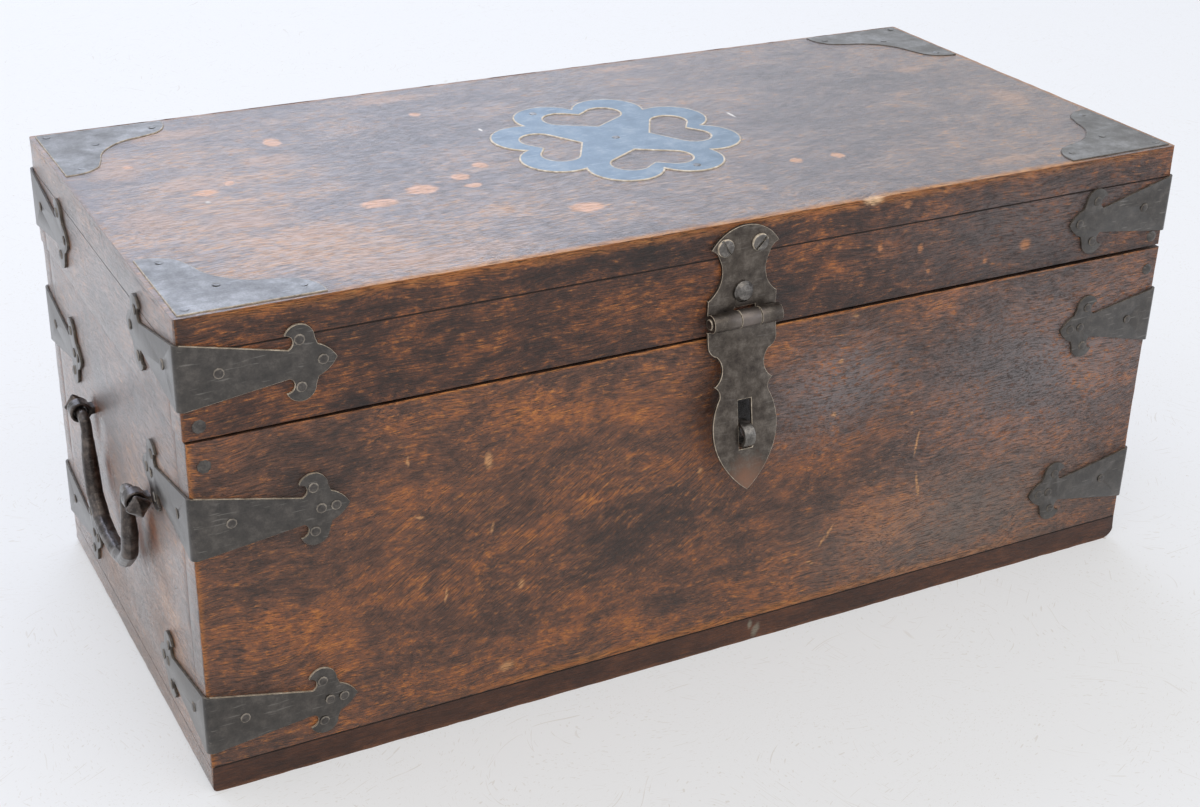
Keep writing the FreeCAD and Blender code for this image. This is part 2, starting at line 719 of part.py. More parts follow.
def add_hinges(screw, screw_stem):
    outer, middle = knuckle_spans()
    seat = leaf_seat()
    body_screws, lid_screws, body_holes, lid_holes = [], [], [], []
    screws = leaf_screw_placements()
    shanks = copies(screw_stem, screws)
    heads = copies(screw, screws)
    lid_leaf = leaf_shape(leaf_face(), seat, flipped(middle), flipped(outer)).cut(Part.makeCompound(shanks))
    body_leaf = leaf_shape(leaf_face(), seat, outer, middle).cut(Part.makeCompound(shanks))
    for side, sign in (("left", -1), ("right", 1)):
        axis = Vector(sign * mm("hinge_spacing") / 2, mm("chest_depth") / 2 + seat, mm("lid_line"))
        upward = Placement(axis, Rotation(UP, 180))
        downward = Placement(axis, Rotation(ALONG, 180))
        name_part(feature(f"hinge_lid_leaf_{side}", lid_leaf, upward), f"hinge_lid_leaf_{side}")
        name_part(feature(f"hinge_body_leaf_{side}", body_leaf, downward), f"hinge_body_leaf_{side}")
        name_part(pin(f"hinge_pin_{side}", f"{sign} * Sizes.hinge_spacing / 2",
                      "Sizes.chest_depth / 2 + Sizes.barrel_radius + Sizes.knuckle_gap", "Sizes.lid_line"),
                  f"hinge_pin_{side}")
        lid_screws += copies(Part.makeCompound(heads), [upward])
        body_screws += copies(Part.makeCompound(heads), [downward])
        lid_holes += copies(Part.makeCompound(shanks), [upward])
        body_holes += copies(Part.makeCompound(shanks), [downward])
    name_part(feature("hinge_lid_screws", Part.makeCompound(lid_screws)), "hinge_lid_screws")
    name_part(feature("hinge_body_screws", Part.makeCompound(body_screws)), "hinge_body_screws")
    return body_holes, lid_holes


# Eyes. In an eye's own frame the wood begins at x = 0 and fills +X, the eye's hole runs along Y

def split_eye(width, bar, radius, near, far):
    thick, clench = mm("board_thick"), mm("clench_length")

    def slab(low_x, high_x, half_z):
        return Part.makeBox(high_x - low_x, width, 2 * half_z, Vector(low_x, -width / 2, -half_z))

    def round_bar(x, reach):
        return Part.makeCylinder(reach, width, Vector(x, -width / 2, 0), ACROSS)

    outer = radius + bar
    stem = slab(-near, thick + bar, bar)
    shape = stem.fuse([round_bar(-near, outer), slab(thick, thick + bar, clench)])
    hole = round_bar(-near, radius)
    if far > near:
        shape = shape.fuse([round_bar(-far, outer), slab(-far, -near, outer)])
        hole = hole.fuse([round_bar(-far, radius), slab(-far, -near, radius)])
    return shape.cut(hole).removeSplitter(), slab(0, thick, bar)


def add_eyes():
    holes = []
    eye, mortise = split_eye(mm("eye_width"), mm("eye_bar"), mm("eye_radius"), mm("bail_standoff"), 0)
    for side, sign in (("left", -1), ("right", 1)):
        for face, away in (("front", -1), ("back", 1)):
            turn = Rotation(UP, 0 if sign < 0 else 180)
            across = away * mm("eye_from_middle") - mm("bail_aside")
            spot = Placement(Vector(sign * mm("chest_length") / 2, across, mm("bail_height")), turn)
            label = f"{side}_handle_eye_{face}"
            name_part(feature(label, eye, spot), label)
            holes += copies(mortise, [spot])
    bar, radius = mm("staple_bar"), mm("staple_eye_radius")
    near, far = mm("staple_neck") + bar + radius, mm("staple_reach") - bar - radius
    staple, mortise = split_eye(mm("staple_width"), bar, radius, near, far)
    spot = Placement(Vector(mm("hasp_x"), -mm("chest_depth") / 2, mm("staple_height")), Rotation(UP, 90))
    name_part(feature("hasp_staple", staple, spot), "hasp_staple")
    return holes + copies(mortise, [spot])


# Drop handle: a forged bar that thickens down its legs, hung by its two knobbed ends. In its own
# frame the swing axis is Y through the origin and the bail hangs along -Z

def bail_rings(side, leg):
    # sections of the bar from the knob over the elbow and down the leg to the grip, each with its
    # place, its radius and how far it is turned down from level
    end = "(Sizes.eye_from_middle + Sizes.eye_width / 2 + Sizes.knob_gap)"
    thin, thick = "Sizes.bail_end_radius", "Sizes.bail_radius"
    elbow, bend, drop = "Sizes.bail_elbow", "Sizes.bail_bend", "Sizes.bail_drop"
    sections = [
        (f"{end} + Sizes.knob_length", "0", "Sizes.knob_end_radius", 0),
        (f"{end} + Sizes.knob_length * {knob_swell_share}", "0", "Sizes.knob_radius", 0),
        (end, "0", thin, 0),
    ]
    for angle in elbow_angles:
        sections.append((f"{leg} + {elbow} * (1 - sin({angle} deg))", f"{elbow} * (cos({angle} deg) - 1)",
                         thin, angle))
    for angle in bend_angles:
        sections.append((f"{leg} - {bend} * (1 - cos({angle} deg))",
                         f"{bend} - {drop} - {bend} * sin({angle} deg)", thick, 90 - angle))
    rings = []
    for y, z, radius, angle in sections:
        ring = bound("Part::RegularPolygon", "bail_ring", Circumradius=radius, Placement__Base__y=f"{side} * ({y})",
                     Placement__Base__z=z)
        ring.Polygon = bar_sides
        ring.Placement = Placement(Vector(), Rotation(ALONG, side * angle - 90))
        rings.append(ring)
    return rings


def add_bails():
    bail = doc.addObject("Part::Loft", "bail")
    bail.Sections = (bail_rings(-1, "(Sizes.bail_half_width - Sizes.bail_sway)")
                     + bail_rings(1, "(Sizes.bail_half_width + Sizes.bail_sway)")[::-1])
    bail.Solid = True
    bail.Ruled = True
    doc.recompute()
    for side, sign in (("left", -1), ("right", 1)):
        axis = Vector(sign * (mm("chest_length") / 2 + mm("bail_standoff")), -mm("bail_aside"), mm("bail_height"))
        name_part(feature(f"{side}_bail", bail.Shape, Placement(axis, Rotation())), f"{side}_bail")


# Spikes through the boards: one near each upright corner of body and lid, and from below into the walls

def add_spikes(spike, stem):
    x = (mm("chest_length") - mm("board_thick")) / 2
    y = mm("chest_depth") / 2
    body_z = mm("lid_line") - mm("body_spike_drop")
    lid_z = mm("lid_line") + mm("lid_spike_rise")
    body_spots, lid_spots = [], []
    for side, face in CORNERS.values():
        turn = Rotation(ALONG, -90 * face)
        body_spots.append(Placement(Vector(side * x, face * y, body_z), turn))
        lid_spots.append(Placement(Vector(side * x - mm("lid_shift"), face * y, lid_z), turn))
    inset = mm("base_spike_inset")
    inner_y = (mm("chest_depth") - mm("board_thick")) / 2
    rise = mm("spike_rise")
    base_spots = [Placement(Vector(sx * (mm("chest_length") / 2 - inset), sy * inner_y, rise), Rotation(ALONG, 180))
                  for sx in (-1, 0, 1) for sy in (-1, 1)]
    name_part(feature("body_board_spikes", Part.makeCompound(copies(spike, body_spots))), "body_board_spikes")
    name_part(feature("base_board_spikes", Part.makeCompound(copies(spike, base_spots))), "base_board_spikes")
    name_part(feature("lid_board_spikes", Part.makeCompound(copies(spike, lid_spots))), "lid_board_spikes")
    return copies(stem, body_spots) + copies(spike, base_spots), copies(stem, lid_spots)


def build():
    body_boards, lid_boards = make_boards()
    nail, nail_stem = fastener("nail")
    tack, tack_stem = fastener("tack")
    spike, spike_stem = fastener("spike")
    rivet, rivet_stem = fastener("rivet")
    screw, screw_stem = fastener("screw")
    screw = slotted(screw)
    nail, tack, spike, rivet, screw = [whole.Shape for whole in (nail, tack, spike, rivet, screw)]
    body_nails, body_holes, lid_holes = [], [], []
    for level, start in (("upper", mm("lid_line")), ("lower", 0)):
        nails, holes = add_straps(f"body_{level}_strap", 0, start, True, nail, nail_stem)
        body_nails += nails
        body_holes += holes
    lid_nails, holes = add_straps("lid_strap", mm("lid_shift"), mm("lid_line"), False, nail, nail_stem)
    lid_holes += holes
    name_part(feature("body_strap_nails", Part.makeCompound(body_nails)), "body_strap_nails")
    name_part(feature("lid_strap_nails", Part.makeCompound(lid_nails)), "lid_strap_nails")
    tacks, holes = add_lid_plates(tack, tack_stem)
    lid_holes += holes
    name_part(feature("lid_plate_tacks", Part.makeCompound(tacks)), "lid_plate_tacks")
    lid_holes += add_hasp(screw, screw_stem, rivet, rivet_stem)
    for holes, more in zip((body_holes, lid_holes), add_hinges(screw, screw_stem)):
        holes += more
    body_holes += add_eyes()
    for holes, more in zip((body_holes, lid_holes), add_spikes(spike, spike_stem)):
        holes += more
    add_bails()
    drill(body_boards, body_holes, "body_holes")
    drill(lid_boards, lid_holes, "lid_holes")
    doc.recompute()


def write():
    failed = [obj.Name for obj in doc.Objects if "Invalid" in obj.State or "Error" in obj.State]
    if failed:
        raise RuntimeError(f"failed objects: {failed}")
    for obj in sub_parts:
        if obj.Shape.isNull() or not obj.Shape.isValid():
            raise RuntimeError(f"bad shape: {obj.Label}")
    os.makedirs("parts", exist_ok=True)
    for obj in sub_parts:
        obj.Shape.exportStep(f"parts/{obj.Label}.step")
        print(obj.Label, len(obj.Shape.Solids), round(obj.Shape.Volume))
    print(len(sub_parts), "sub-parts")


build()
write()
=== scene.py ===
import json
from math import atan2, cos, pi, radians, sin
from random import Random

import bpy
from mathutils import Matrix, Vector


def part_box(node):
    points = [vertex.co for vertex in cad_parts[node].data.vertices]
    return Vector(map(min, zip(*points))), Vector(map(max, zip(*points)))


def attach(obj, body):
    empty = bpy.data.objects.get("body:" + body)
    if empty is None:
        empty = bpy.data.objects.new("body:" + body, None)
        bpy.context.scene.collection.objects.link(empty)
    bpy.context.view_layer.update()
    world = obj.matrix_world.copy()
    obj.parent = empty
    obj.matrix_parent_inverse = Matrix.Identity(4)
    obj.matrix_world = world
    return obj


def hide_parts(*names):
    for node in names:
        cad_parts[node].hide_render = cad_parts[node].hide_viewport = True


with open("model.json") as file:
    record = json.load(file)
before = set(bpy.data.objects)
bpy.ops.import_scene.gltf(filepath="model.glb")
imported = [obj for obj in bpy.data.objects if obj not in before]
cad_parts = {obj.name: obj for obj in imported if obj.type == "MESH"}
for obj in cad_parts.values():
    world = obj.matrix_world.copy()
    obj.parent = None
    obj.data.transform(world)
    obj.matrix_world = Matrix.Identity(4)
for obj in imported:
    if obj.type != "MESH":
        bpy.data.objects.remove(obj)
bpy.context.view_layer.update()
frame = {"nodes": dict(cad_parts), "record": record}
mm = 0.001

# the outer faces of the wood, in mm: the lid sits 0.8 mm to the left of the body
planes = {
    "left": ("X", -251), "right": ("X", 251), "lidLeft": ("X", -251.8), "lidRight": ("X", 250.2),
    "front": ("Y", -117.5), "back": ("Y", 117.5),
    "bottom": ("Z", 0), "baseTop": ("Z", 15), "lidLine": ("Z", 168.75), "top": ("Z", 222),
}


def toLinear(hexColour):
    # sRGB hex to linear colour
    parts = [int(hexColour[i:i + 2], 16) / 255 for i in (1, 3, 5)]
    return [p / 12.92 if p <= 0.04045 else ((p + 0.055) / 1.055) ** 2.4 for p in parts] + [1]


def addNode(tree, kind, links=None, ramp=(), **settings):
    # one shader node: settings are its own options, links are sockets with a value or another node's output
    node = tree.nodes.new(kind)
    for option, value in settings.items():
        setattr(node, option, value)
    for socket, value in (links or {}).items():
        if isinstance(value, bpy.types.NodeSocket):
            tree.links.new(value, node.inputs[socket])
        else:
            node.inputs[socket].default_value = toLinear(value) if isinstance(value, str) else value
    for i, (place, colour) in enumerate(ramp):
        stops = node.color_ramp.elements
        stop = stops[i] if i < 2 else stops.new(place)
        stop.position = place
        stop.color = toLinear(colour)
    return node


def newMaterial(name):
    material = bpy.data.materials.new(name)
    material.use_nodes = True
    return material, material.node_tree, material.node_tree.nodes["Principled BSDF"]


# camera and light

photoView = {"spot": (-0.41918, -0.76127, 0.51486), "turn": (63.42, -1.438, -27.923), "lens": 56.507,
             "sensor": 36, "nearest": 0.01}
lamps = {
    "windowBehind": {"spot": (0.05, 2.6, 2.55), "size": (3.6, 2.2), "level": 3.4, "colour": "#D2E0FF"},
    "windowLeft": {"spot": (-2.4, 0.5, 1.5), "size": (2.4, 2.0), "level": 1.0, "colour": "#F6F8FF"},
    "windowRight": {"spot": (2.3, -1.5, 0.75), "size": (1.8, 1.3), "level": 1.2, "colour": "#E8F0FF"},
    "softboxFront": {"spot": (-0.3, -1.7, 2.2), "size": (3.0, 2.0), "level": 1.7, "colour": "#FFF8F0"},
}
lampTarget = Vector((0, 0, 0.1))  # the middle of the chest
room = {"ambient": "#F3F6FB", "level": 0.85, "backdrop": "#F1F4FB"}

cameraData = bpy.data.cameras.new("photoCamera")
camera = bpy.data.objects.new("photoCamera", cameraData)
bpy.context.scene.collection.objects.link(camera)
camera.location = photoView["spot"]
camera.rotation_euler = [radians(a) for a in photoView["turn"]]
cameraData.lens = photoView["lens"]
cameraData.sensor_width = photoView["sensor"]
cameraData.sensor_fit = "HORIZONTAL"
cameraData.clip_start = photoView["nearest"]
bpy.context.scene.camera = camera

for lampName, lamp in lamps.items():
    lampData = bpy.data.lights.new(lampName, "AREA")
    lampData.shape = "RECTANGLE"
    lampData.size, lampData.size_y = lamp["size"]
    lampData.energy = lamp["level"] * pi * lamp["size"][0] * lamp["size"][1]
    lampData.color = toLinear(lamp["colour"])[:3]
    lampObject = bpy.data.objects.new(lampName, lampData)
    lampObject.location = lamp["spot"]
    lampObject.rotation_euler = (lampTarget - Vector(lamp["spot"])).to_track_quat("-Z", "Y").to_euler()
    bpy.context.scene.collection.objects.link(lampObject)

world = bpy.data.worlds.new("studio")
bpy.context.scene.world = world
world.use_nodes = True
ambient = world.node_tree.nodes["Background"]
ambient.inputs["Color"].default_value = toLinear(room["ambient"])
ambient.inputs["Strength"].default_value = room["level"]
# what the camera sees past the floor is a plain pale backdrop
beyond = addNode(world.node_tree, "ShaderNodeBackground", {"Color": room["backdrop"], "Strength": 1})
path = addNode(world.node_tree, "ShaderNodeLightPath")
backdrop = addNode(world.node_tree, "ShaderNodeMixShader", {0: path.outputs["Is Camera Ray"],
                                                            1: ambient.outputs[0], 2: beyond.outputs[0]})
world.node_tree.links.new(backdrop.outputs[0], world.node_tree.nodes["World Output"].inputs["Surface"])
bpy.context.scene.view_settings.view_transform = "Standard"
print("camera and light ready")


# patterns that wood, metal and floor share

def placeInMm(tree):
    # the piece's own coordinates in millimetres
    own = addNode(tree, "ShaderNodeTexCoord").outputs["Object"]
    return addNode(tree, "ShaderNodeMapping", {"Vector": own, "Scale": (1 / mm,) * 3}).outputs[0]


def swayed(tree, place, noise, reachMm):
    # the place pushed to and fro by a noise
    push = addNode(tree, "ShaderNodeVectorMath", {0: noise.outputs["Color"], 1: (0.5, 0.5, 0.5)},
                   operation="SUBTRACT")
    push = addNode(tree, "ShaderNodeVectorMath", {0: push.outputs[0], "Scale": reachMm}, operation="SCALE")
    return addNode(tree, "ShaderNodeVectorMath", {0: place, 1: push.outputs[0]}).outputs[0]


def addUp(tree, total, parts):
    # adds to the total each pattern times its share
    for pattern, share in parts:
        total = addNode(tree, "ShaderNodeMath", {0: pattern, 1: share, 2: total},
                        operation="MULTIPLY_ADD").outputs[0]
    return total


# wood

shellac = {
    "bendMm": 55,  # from one slow bend of the figure to the next
    "slantRagged": 60, "slantSoft": 0.4, "patchRagged": 25, "patchSoft": 0.1, "ovalRim": 1.1,
    "rubTone": 0.5, "rubFleck": 0.5, "rubFibre": 0.3, "rubSpan": 0.13,  # decides where the coat is rubbed
    "edgeRagged": 1.6, "edgeFrom": 0.45, "edgeTo": -0.5,  # times the reach of the edge's wear
    "poreFrom": 0.5, "poreTo": 0.36, "poreDeep": 0.9, "fleckHigh": 1.2, "reliefMm": 0.3,
    "blotchFrom": 0.3, "blotchTo": 0.7, "duller": 0.06, "glossier": 0.04,  # the coat's roughness by blotches
    "bareRough": 0.16, "bareCoat": 0.1, "bareShine": 0.3, "coatRough": 0.3, "ior": 1.5,
}


def wornWood(name, look):
    # old shellac over hand planed hardwood: brown stain that has rubbed through to the warm timber below,
    # short dark pores along the grain, a soft gloss that turns to pale sheen at low angles
    material, tree, skin = newMaterial(name)
    inMm = placeInMm(tree)
    bends = addNode(tree, "ShaderNodeTexNoise", {"Vector": inMm, "Scale": 1 / shellac["bendMm"],
                                                 "Detail": 1.0})
    wavy = swayed(tree, inMm, bends, look["wave"])
    layers = {}
    for layer, (longMm, shortMm, detail, rough, slant) in look["layers"].items():
        size = [shortMm] * 3
        size["XYZ".index(look["grain"])] = longMm
        laid = addNode(tree, "ShaderNodeMapping", {"Vector": wavy, "Rotation": (0, radians(slant), 0),
                                                   "Scale": size}, vector_type="TEXTURE")
        layers[layer] = addNode(tree, "ShaderNodeTexNoise", {"Vector": laid.outputs[0], "Scale": 1,
                                                             "Detail": detail, "Roughness": rough})
    figure = {layer: noise.outputs[0] for layer, noise in layers.items()}
    axes = addNode(tree, "ShaderNodeSeparateXYZ", {"Vector": inMm})

    def patchMask(oval, ragged, soft):
        # 1 inside a ragged oval, 0 outside
        middle, reach, lean = oval[:3], oval[3:6], oval[6]
        near = swayed(tree, inMm, layers["fleck"], ragged)
        near = addNode(tree, "ShaderNodeMapping", {"Vector": near, "Location": middle, "Scale": reach,
                                                   "Rotation": (0, radians(lean), 0)}, vector_type="TEXTURE")
        far = addNode(tree, "ShaderNodeVectorMath", {0: near.outputs[0]}, operation="LENGTH")
        return addNode(tree, "ShaderNodeMapRange",
                       {"Value": far.outputs["Value"], "From Min": shellac["ovalRim"], "From Max": soft},
                       interpolation_type="SMOOTHSTEP").outputs[0]

    if "slantPatch" in look:
        across = patchMask(look["slantPatch"], shellac["slantRagged"], shellac["slantSoft"])
        for straight, slanted in (("fibre", "slantFibre"), ("pore", "slantPore")):
            figure[straight] = addNode(tree, "ShaderNodeMix", {"Factor": across, 2: figure[straight],
                                                               3: figure[slanted]}).outputs[0]
    tone = addUp(tree, 0.0, [(figure[layer], share) for layer, share in look["shares"].items()])
    tone = addUp(tree, tone, [(patchMask(oval, shellac["patchRagged"], shellac["patchSoft"]), lift)
                              for oval, lift in look["tonePatches"]])
    stain = addNode(tree, "ShaderNodeMapRange", {"Value": tone, "From Min": look["spread"][0],
                                                 "From Max": look["spread"][1]})
    colour = addNode(tree, "ShaderNodeValToRGB", {"Fac": stain.outputs[0]}, ramp=look["stain"]).outputs[0]
    bare = addNode(tree, "ShaderNodeValToRGB", {"Fac": figure["fibre"]}, ramp=look["bare"]).outputs[0]

    # flecks where the coat is rubbed off the high spots
    rub = addUp(tree, 0.0, [(tone, shellac["rubTone"]), (figure["fleck"], shellac["rubFleck"]),
                            (figure["fibre"], shellac["rubFibre"])])
    wear = addNode(tree, "ShaderNodeMapRange", {"Value": rub, "From Min": look["rub"],
                                                "From Max": look["rub"] + shellac["rubSpan"],
                                                "To Max": look["rubbed"]}).outputs[0]
    for edge in look["edges"]:
        # worn where the distances to the two planes of an edge add up to little
        gap = 0.0
        for axis, at in (planes[plane] for plane in edge["line"]):
            off = addNode(tree, "ShaderNodeMath", {0: axes.outputs[axis], 1: at}, operation="SUBTRACT")
            off = addNode(tree, "ShaderNodeMath", {0: off.outputs[0]}, operation="ABSOLUTE")
            gap = addNode(tree, "ShaderNodeMath", {0: gap, 1: off.outputs[0]}, operation="ADD").outputs[0]
        ragged = addUp(tree, gap, [(figure["fleck"], -edge["reach"] * shellac["edgeRagged"])])
        mask = addNode(tree, "ShaderNodeMapRange", {"Value": ragged, "To Max": edge["wear"],
                                                    "From Min": edge["reach"] * shellac["edgeFrom"],
                                                    "From Max": edge["reach"] * shellac["edgeTo"]}).outputs[0]
        if "span" in edge:
            left, right, soft = edge["span"]
            for end, fade in ((left, soft), (right, -soft)):
                within = addNode(tree, "ShaderNodeMapRange", {"Value": axes.outputs["X"],
                                                              "From Min": end - fade, "From Max": end + fade})
                mask = addNode(tree, "ShaderNodeMath", {0: mask, 1: within.outputs[0]},
                               operation="MULTIPLY").outputs[0]
        wear = addNode(tree, "ShaderNodeMath", {0: wear, 1: mask}, operation="MAXIMUM").outputs[0]
    colour = addNode(tree, "ShaderNodeMix", {"Factor": wear, 6: colour, 7: bare}, data_type="RGBA").outputs[2]

    for marks in look["marks"]:
        shade = 0.0
        for oval in marks["spots"]:
            mask = patchMask(oval, marks["ragged"], marks["soft"])
            shade = addNode(tree, "ShaderNodeMath", {0: shade, 1: mask}, operation="MAXIMUM").outputs[0]
        shade = addNode(tree, "ShaderNodeMath", {0: shade, 1: marks["strength"]},
                        operation="MULTIPLY").outputs[0]
        colour = addNode(tree, "ShaderNodeMix", {"Factor": shade, 6: colour, 7: marks["colour"]},
                         data_type="RGBA").outputs[2]
        if marks["bare"]:
            wear = addNode(tree, "ShaderNodeMath", {0: wear, 1: shade}, operation="MAXIMUM").outputs[0]
    # open pores, about 0.4 mm wide and drawn a little wider so that they show
    pores = addNode(tree, "ShaderNodeMapRange", {"Value": figure["pore"], "From Min": shellac["poreFrom"],
                                                 "From Max": shellac["poreTo"],
                                                 "To Max": look["pores"]}).outputs[0]
    colour = addNode(tree, "ShaderNodeMix", {"Factor": pores, 6: colour, 7: look["poreColour"]},
                     data_type="RGBA").outputs[2]
    tree.links.new(colour, skin.inputs["Base Color"])

    # bare timber is rougher than the coat and has less of its shine
    gloss = addNode(tree, "ShaderNodeMapRange", {"Value": figure["blotch"], "From Min": shellac["blotchFrom"],
                                                 "From Max": shellac["blotchTo"],
                                                 "To Min": look["gloss"] + shellac["duller"],
                                                 "To Max": look["gloss"] - shellac["glossier"]})
    tree.links.new(addUp(tree, gloss.outputs[0], [(wear, shellac["bareRough"])]), skin.inputs["Roughness"])
    for socket, whole, worn in (("Coat Weight", look["coat"], shellac["bareCoat"]),
                                ("Specular IOR Level", look["shine"], shellac["bareShine"])):
        level = addNode(tree, "ShaderNodeMapRange", {"Value": wear, "To Min": whole, "To Max": worn})
        tree.links.new(level.outputs[0], skin.inputs[socket])
    relief = addUp(tree, figure["fibre"], [(pores, -shellac["poreDeep"]),
                                           (figure["fleck"], shellac["fleckHigh"])])
    bump = addNode(tree, "ShaderNodeBump", {"Height": relief, "Distance": shellac["reliefMm"] * mm,
                                            "Strength": look["relief"]})
    tree.links.new(bump.outputs[0], skin.inputs["Normal"])
    tree.links.new(bump.outputs[0], skin.inputs["Coat Normal"])
    skin.inputs["IOR"].default_value = shellac["ior"]
    skin.inputs["Coat Roughness"].default_value = shellac["coatRough"]
    return material


# ovals on a face, in mm: the middle, how far it reaches across and up, its lean in degrees, how thick it is

def topSpot(px, py, acrossMm, deepMm, thick=8):
    return (px, py, planes["top"][1], acrossMm, deepMm, thick, 0)


def frontSpot(px, pz, acrossMm, highMm, lean=0, thick=8):
    return (px, planes["front"][1], pz, acrossMm, thick, highMm, lean)


def leftSpot(py, pz, acrossMm, highMm, thick=8):
    return (planes["left"][1], py, pz, thick, acrossMm, highMm, 0)


# mm along the grain, mm across it, detail, roughness, slant in degrees
plainLayers = {"drift": (60, 30, 2, 0.5, 0), "blotch": (15, 8, 6, 0.74, 0), "fleck": (4.5, 2.4, 5, 0.76, 0),
               "fibre": (14, 0.6, 5, 0.7, 0), "pore": (8, 0.5, 3, 0.6, 0)}
slantLayers = {**plainLayers, "slantFibre": (12, 0.65, 5, 0.7, -32), "slantPore": (8, 0.5, 3, 0.6, -34)}
evenShares = {"drift": 0.25, "blotch": 0.3, "fleck": 0.15, "fibre": 0.3}
blotchyShares = {"drift": 0.24, "blotch": 0.34, "fleck": 0.22, "fibre": 0.2}
bareTimber = [(0.3, "#84491E"), (0.5, "#A96830"), (0.72, "#CB9250")]

# ragged is in mm, soft runs from 0 for a blurred oval to 1 for a sharp one, bare marks have lost their coat
orangeMarks = {
    "colour": "#C58C5E", "ragged": 6, "soft": 0.7, "strength": 0.95, "bare": False,
    "spots": [topSpot(-150.3, 63, 4.5, 6.5), topSpot(-134.3, -33.2, 9, 5.5), topSpot(-110.7, -24.8, 8, 6.5),
              topSpot(-88.3, -16.5, 5, 4.5), topSpot(-73.3, -5.9, 4, 4), topSpot(-87.3, -29, 4.5, 3),
              topSpot(-53, -74.7, 8.5, 6), topSpot(65.7, -59.9, 3.5, 3.5), topSpot(88, -61.6, 3.5, 4),
              topSpot(-71.7, 75.8, 3.2, 3.2), topSpot(-221, 55.8, 2.6, 2.6), topSpot(-186, 17.4, 2.6, 3.2),
              topSpot(-199, 9.6, 6, 4)],
}
faintMarks = {
    "colour": "#A07858", "ragged": 24, "soft": 0.35, "strength": 0.7, "bare": False,
    "spots": [topSpot(-171, -54.2, 20, 8), topSpot(205.7, 41.8, 13, 7), topSpot(175.7, 6.4, 9, 4),
              topSpot(-108, 68, 7, 4), topSpot(160, -100, 24, 6), topSpot(-232, -15, 16, 18),
              topSpot(-228, 55, 14, 22), topSpot(-75, 103, 30, 7), topSpot(-190, 92, 26, 9),
              topSpot(-140, -100, 60, 9), topSpot(-205, 22, 18, 10), topSpot(60, 106, 26, 5),
              topSpot(225, -20, 12, 16), topSpot(-195, -30, 22, 12), topSpot(-160, 40, 18, 8)],
}
edgeChip = {
    "colour": "#D2AC84", "ragged": 4, "soft": 0.4, "strength": 0.9, "bare": True,
    "spots": [(70, -117, 221, 6.5, 4, 3, 0)],  # a hair inside the chip that makeBoard breaks out
}
paleSpecks = {
    "colour": "#E8E2DA", "ragged": 0.8, "soft": 0.5, "strength": 0.9, "bare": True,
    "spots": [topSpot(-201.7, -2, 1.5, 1.6), topSpot(74, 12.4, 0.9, 5), topSpot(-51.7, 40.8, 0.9, 2.6)],
}
frontScratches = {
    "colour": "#C08E60", "ragged": 3.2, "soft": 0.3, "strength": 0.75, "bare": True,
    "spots": [frontSpot(109.8, 89, 0.9, 9, 6), frontSpot(112.5, 66, 1, 6, -8), frontSpot(114, 61, 1, 4),
              frontSpot(62, 51, 1, 5, 30), frontSpot(58, 46, 1, 4, 30), frontSpot(52, 35.5, 3, 1, 25),
              frontSpot(104.5, 106.4, 1.4, 1.1), frontSpot(58.5, 115.4, 1.6, 1.6),
              frontSpot(-14.3, 102.3, 1.6, 1.7), frontSpot(-119.2, 98.7, 0.8, 3.4, 12),
              frontSpot(-141.5, 70, 0.8, 4.4, 8), frontSpot(-121, 132, 2.4, 5),
              frontSpot(-105, 66, 2, 3, 20), frontSpot(-153, 112, 2.6, 1, 20), frontSpot(-158, 140, 0.8, 3),
              frontSpot(-112, 24, 5, 3), frontSpot(60, 143, 1.6, 1.3), frontSpot(66, 165, 2, 1.4)],
}
lidScratches = {
    "colour": "#B87C50", "ragged": 3, "soft": 0.3, "strength": 0.7, "bare": True,
    "spots": [frontSpot(162, 184.6, 4, 3.6), frontSpot(138.5, 180, 1.6, 1.6), frontSpot(99, 193, 2, 3),
              frontSpot(76, 197, 1.6, 2.4), frontSpot(105, 180.6, 1.4, 1.4), frontSpot(89, 216, 3, 2)],
}
baseScuff = {
    "colour": "#8C8A7A", "ragged": 3, "soft": 0.3, "strength": 0.55, "bare": True,
    "spots": [frontSpot(22.5, 5, 2.4, 5, 20), frontSpot(19, 9, 1.6, 3)],
}
# painted sheen: a grey haze standing in for the right window's light reflected on the front
sheenPaintedRight = {
    "colour": "#6E6868", "ragged": 60, "soft": 0.0, "strength": 0.84, "bare": False,
    "spots": [frontSpot(190, 118, 140, 80), frontSpot(60, 130, 70, 40)],
}
# painted sheen: a grey haze of reflected light low on the right of the front
sheenPaintedLowRight = {
    "colour": "#746A62", "ragged": 40, "soft": 0.0, "strength": 0.65, "bare": False,
    "spots": [frontSpot(140, 40, 130, 50)],
}
# painted sheen: a grey haze of reflected light on the right of the lid front
sheenPaintedLid = {
    "colour": "#5A5352", "ragged": 50, "soft": 0.0, "strength": 0.8, "bare": False,
    "spots": [frontSpot(170, 195, 130, 40)],
}
# painted sheen: a pale grey reflection on the upper part of the left end face
sheenPaintedEnd = {
    "colour": "#97969B", "ragged": 50, "soft": 0.0, "strength": 0.15, "bare": False,
    "spots": [leftSpot(-10, 148, 120, 42), leftSpot(-20, 195, 120, 34)],
}
# painted shadow on the wood behind the hasp's slot, nearly black
shadowPaintedBehindSlot = {
    "colour": "#0C0806", "ragged": 0.8, "soft": 0.7, "strength": 0.95, "bare": False,
    "spots": [frontSpot(6, 127, 7, 11)],
}
